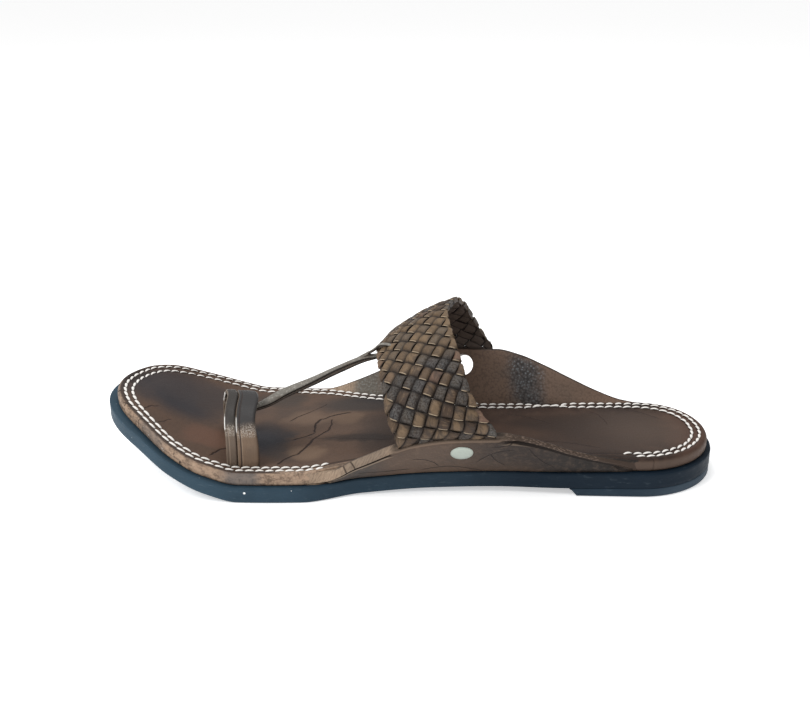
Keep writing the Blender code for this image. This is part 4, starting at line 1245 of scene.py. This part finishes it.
def ringFinish(ring):
    colours = {**toeRing["colours"], **ring["colours"]}
    finish = Finish(ring["name"] + "Leather", colours, Specular_IOR_Level=0.25)
    at = finish.place()
    x, y, z = finish.parts(at)
    aside, width = finish.parts(finish.kept("ring"))[1:]
    blotch = finish.noise(at, 3.5, detail=5, rough=0.65)
    grain = finish.noise(finish.joined(x * 1.4, y * 0.7, z * 0.7), 0.9, detail=5, rough=0.6)
    speckle = finish.noise(at, 0.5, detail=2)
    finish.shade = finish.mix(blotch, "low", "blotch")
    bend = z + (blotch - 0.5) * 4 + (width - aside) * 0.15
    finish.over(bend.rising(29.5, 34.5), "high")
    # painted highlight along the bend of the ring, broken by a fine speckle
    finish.over(bend.near(30.4, 0.9, 2.6) * speckle.rising(0.44, 0.6) * 0.6, "wearAndHighlight")
    edge = aside.falling(0.15, 0.7)
    # painted highlight along the strip's front edge
    finish.over(edge * 0.5, "edge")
    finish.over(edge * bend.near(33.2, 1.9, 1.2), "gleam")
    # painted shade along the strip's far edge
    finish.over((width - aside).falling(0.1, 0.5) * 0.5, "farEdgeShade")
    seam = aside.near(ring["seamAt"], 0.14, 0.3) * ring["seam"]
    finish.over(seam, "seam")
    beside = aside.near(ring["seamAt"] + 0.55, 0.08, 0.25)
    finish.over(beside * bend.falling(29, 33) * 0.3, "seamPale")
    finish.over(z.falling(9.0, 15.5) * 0.6, "foot")
    return finish.close(0.4 + 0.22 * grain, grain + blotch * 0.6 - seam * 1.4, 0.25, 0.55)


# the strap from the ring to the band
strap = {
    "columns": ("x", "y", "z", "wide", "thick"),
    "rows": (
        (-78.5, -7.7, 25.4, 2.0, 1.2),
        (-72.5, -9.5, 27.4, 2.2, 1.4),
        (-67.0, -10.2, 30.0, 2.5, 1.7),
        (-58.6, -7.5, 34.1, 2.6, 2.0),
        (-45.6, -4.5, 39.2, 2.5, 1.9),
        (-32.5, -2.0, 45.0, 2.4, 1.8),
        (-20.5, -0.5, 49.8, 2.2, 1.5),
        (-15.0, 0.2, 50.8, 2.2, 0.9),
        (-9.0, 0.8, 54.2, 2.8, 0.7),
        (-2.0, 1.2, 59.2, 3.0, 0.6),
    ),
    "steps": 160, "around": 36, "fold": 0.3, "tipSteps": 60, "tipFold": 0.2,
    "tip": ((-25.0, -0.8, 49.2, 1.5, 0.7), (-20.0, -0.5, 52.0, 1.5, 0.7)),
    "tipOnBand": (  # steps along and across the band, rise over it, wide and thick
        (17.4, 0.0, 1.7, 1.5, 0.7), (17.1, 0.7, 1.9, 1.4, 0.6), (16.4, 1.5, 1.3, 1.2, 0.5),
        (15.8, 2.1, 0.2, 1.0, 0.4),
    ),
    "colours": {
        "low": (58, 52, 47), "high": (116, 112, 105), "wearAndHighlight": (172, 169, 160),
        "blotch": (88, 76, 66), "fold": (26, 22, 21), "lip": (124, 110, 98),
    },
}


def makeSwept(name, rows, steps, fold, finish, nodes=()):  # a strap of two lobes, folded together
    path = evenly(rows, np.linspace(0, 1, steps + 1))
    along = unit(np.gradient(path[:, :3], axis=0))
    across = unit(np.cross([0, 0, 1.0], along))
    up = np.cross(along, across)
    turn = np.linspace(0, 2 * math.pi, strap["around"], endpoint=False)
    pinch = 1 - fold * np.exp(-((turn - math.pi * 1.06) / 0.16) ** 2)
    pinch = pinch - fold * np.exp(-((turn - 0.1) / 0.2) ** 2)
    flat = np.sign(np.cos(turn)) * np.abs(np.cos(turn)) ** 0.8
    sections, kept = [], []
    for k, row in enumerate(path):
        roll = 0.25 * math.sin(k * 0.05)
        a = across[k] * math.cos(roll) + up[k] * math.sin(roll)
        b = up[k] * math.cos(roll) - across[k] * math.sin(roll)
        aside, rise = row[3] * flat * pinch, row[4] * np.sin(turn) * pinch
        sections.append(row[:3] + a * aside[:, None] + b * rise[:, None])
        kept.append(np.c_[np.full(len(turn), k), np.cos(turn), np.sin(turn)])
    piece = makePiece(name, tube(np.array(sections)), finish, nodes)
    keepValues(piece, "strap", np.vstack(kept))


def makeStrap():
    finish = strapFinish()
    makeSwept("toeStrap", strap["rows"], strap["steps"], strap["fold"], finish, ["toe_strap"])
    # the strap's end curls over the front edge of the band
    grid, normals = bandGrid()
    rows = list(strap["tip"])
    for along, across, rise, wide, thick in strap["tipOnBand"]:
        m, n = np.array([along]), np.array([across])
        spot = readGrid(grid, m, n)[0] + readGrid(normals, m, n)[0] * rise
        rows.append((*spot, wide, thick))
    makeSwept("strapTip", rows, strap["tipSteps"], strap["tipFold"], finish)


def strapFinish():
    finish = Finish("strapLeather", strap["colours"], Specular_IOR_Level=0.25)
    at = finish.place()
    aside, up = finish.parts(finish.kept("strap"))[1:]
    grain = finish.noise(at, 1.1, detail=6, rough=0.65)
    high = up + aside * 0.25
    # painted light: the upper side of the strap is painted lit and the lower side shaded, and a grainy
    # pale mark, partly wear and partly painted highlight, lies along the top
    finish.shade = finish.mix(high.rising(-0.1, 0.4), "low", "high")
    finish.over(grain.rising(0.48, 0.7) * high.rising(0.0, 0.5) * 0.65, "wearAndHighlight")
    finish.over(finish.noise(at, 5).rising(0.48, 0.7) * 0.55, "blotch")
    # painted shade in the groove that the bump cuts along the strap
    finish.over(high.near(-0.08, 0.08, 0.14) * 0.85, "fold")
    finish.over(high.near(-0.42, 0.06, 0.16) * 0.55, "lip")
    return finish.close(0.42 + 0.2 * grain, grain - high.near(-0.08, 0.1, 0.14), 0.34, 0.65)


# the stud
stud = {
    "radius": 5.0, "around": 64,
    "profile": (  # share of the radius, height and whether it is from the back of the flap
        (0.03, 1.25, 0), (0.3, 1.22, 0), (0.6, 1.1, 0), (0.85, 0.85, 0), (0.95, 0.6, 0), (1.0, 0.3, 0),
        (1.0, -0.2, 0), (0.96, -0.6, 0), (0.96, -0.1, 1), (1.24, -0.15, 1), (1.24, -0.5, 1),
        (1.18, -0.8, 1), (0.03, -0.9, 1),
    ),
    "colours": {"metal": (174, 183, 174), "dull": (160, 166, 158)},
}


def makeStud():
    finish = Finish("studMetal", stud["colours"], Metallic=0.55)
    dull = finish.noise(finish.place(), 0.6, detail=4, rough=0.7)
    finish.shade = finish.mix(dull * 0.45, "metal", "dull")
    finish.close(0.34 + 0.22 * dull, dull, 0.08, 0.5)
    body = float(column(flaps[-1], "body", flaps["eyeX"]))
    turn = np.linspace(0, 2 * math.pi, stud["around"] + 1)[:-1]
    rows = []
    for share, height, fromBack in stud["profile"]:
        radius, z = share * stud["radius"], height - body * fromBack + body
        rows.append([(radius * math.cos(a), radius * math.sin(a), z) for a in turn])
    points, faces = tube(np.array(rows))
    matrix = np.array(eyeTurn(-1))
    points = points @ matrix[:3, :3].T + matrix[:3, 3] / mm
    makePiece("flapStud", (points, faces), finish, ["ear_stud"], sharp=50)


# floor, light and camera
view = {
    "azimuth": 3.07, "elevation": 21.44, "distance": 504.9, "target": (-3.09, 0.0, 51.11),
    "focalPixels": 1099.65, "pixelsWide": 810, "sensor": 36.0, "sky": 0.5,
    "floor": ((-6, -6, 0), (6, -6, 0), (6, 12, 0), (-6, 12, 0)), "floorDrop": 0.2, "floorGlow": 0.5,
    "colours": {"floor": (250, 250, 250)},
    "lamps": (  # name, place in metres, size and power
        ("keySoftbox", (-0.75, -0.6, 0.95), 0.6, 9.0), ("topSoftbox", (-0.1, 0.35, 1.1), 0.7, 5.0),
    ),
    "lampAim": (0, 0, 0.03),
}


def putIn(name, thing, spot):  # a camera, lamp or mesh put into the scene
    holder = bpy.data.objects.new(name, thing)
    holder.location = spot
    bpy.context.scene.collection.objects.link(holder)
    return holder


def makeCamera():
    az, el = math.radians(view["azimuth"]), math.radians(view["elevation"])
    back = Vector((math.sin(az) * math.cos(el), -math.cos(az) * math.cos(el), math.sin(el)))
    lens = bpy.data.cameras.new("photoCamera")
    lens.sensor_width = view["sensor"]
    lens.lens = view["focalPixels"] * view["sensor"] / view["pixelsWide"]
    lens.clip_start = 0.01
    camera = putIn("photoCamera", lens, Vector(view["target"]) * mm + back * view["distance"] * mm)
    camera.rotation_euler = (-back).to_track_quat("-Z", "Y").to_euler()
    bpy.context.scene.camera = camera


def makeStudio():
    makeCamera()
    finish = Finish("studioFloor", view["colours"], Roughness=0.9, Specular_IOR_Level=0.1)
    finish.feed("Base Color", "floor")
    finish.feed("Emission Color", "floor")
    finish.feed("Emission Strength", view["floorGlow"])
    mesh = bpy.data.meshes.new("studioFloor")
    mesh.from_pydata(view["floor"], [], [(0, 1, 2, 3)])
    mesh.materials.append(finish.material)
    floor = putIn("studioFloor", mesh, (0, 0, -view["floorDrop"] * mm))
    world = bpy.data.worlds.new("studio")
    world.use_nodes = True
    sky = world.node_tree.nodes["Background"]
    sky.inputs["Color"].default_value = (1, 1, 1, 1)
    sky.inputs["Strength"].default_value = view["sky"]
    bpy.context.scene.world = world
    bpy.context.scene.view_settings.view_transform = "Standard"
    for name, spot, size, power in view["lamps"]:
        lamp = bpy.data.lights.new(name, "AREA")
        lamp.shape, lamp.size, lamp.energy = "DISK", size, power
        aim = Vector(view["lampAim"]) - Vector(spot)
        putIn(name, lamp, spot).rotation_euler = aim.to_track_quat("-Z", "Y").to_euler()
    print("made studio")


makeStudio()
makeSole()
makeLift()
makeFlap(-1, "medialFlap", "ear_medial")
makeFlap(1, "lateralFlap", "ear_lateral")
makeBed()
makeStitches()
makeBand()
makeRing(ringNarrow)
makeRing(ringWide)
makeStrap()
makeStud()
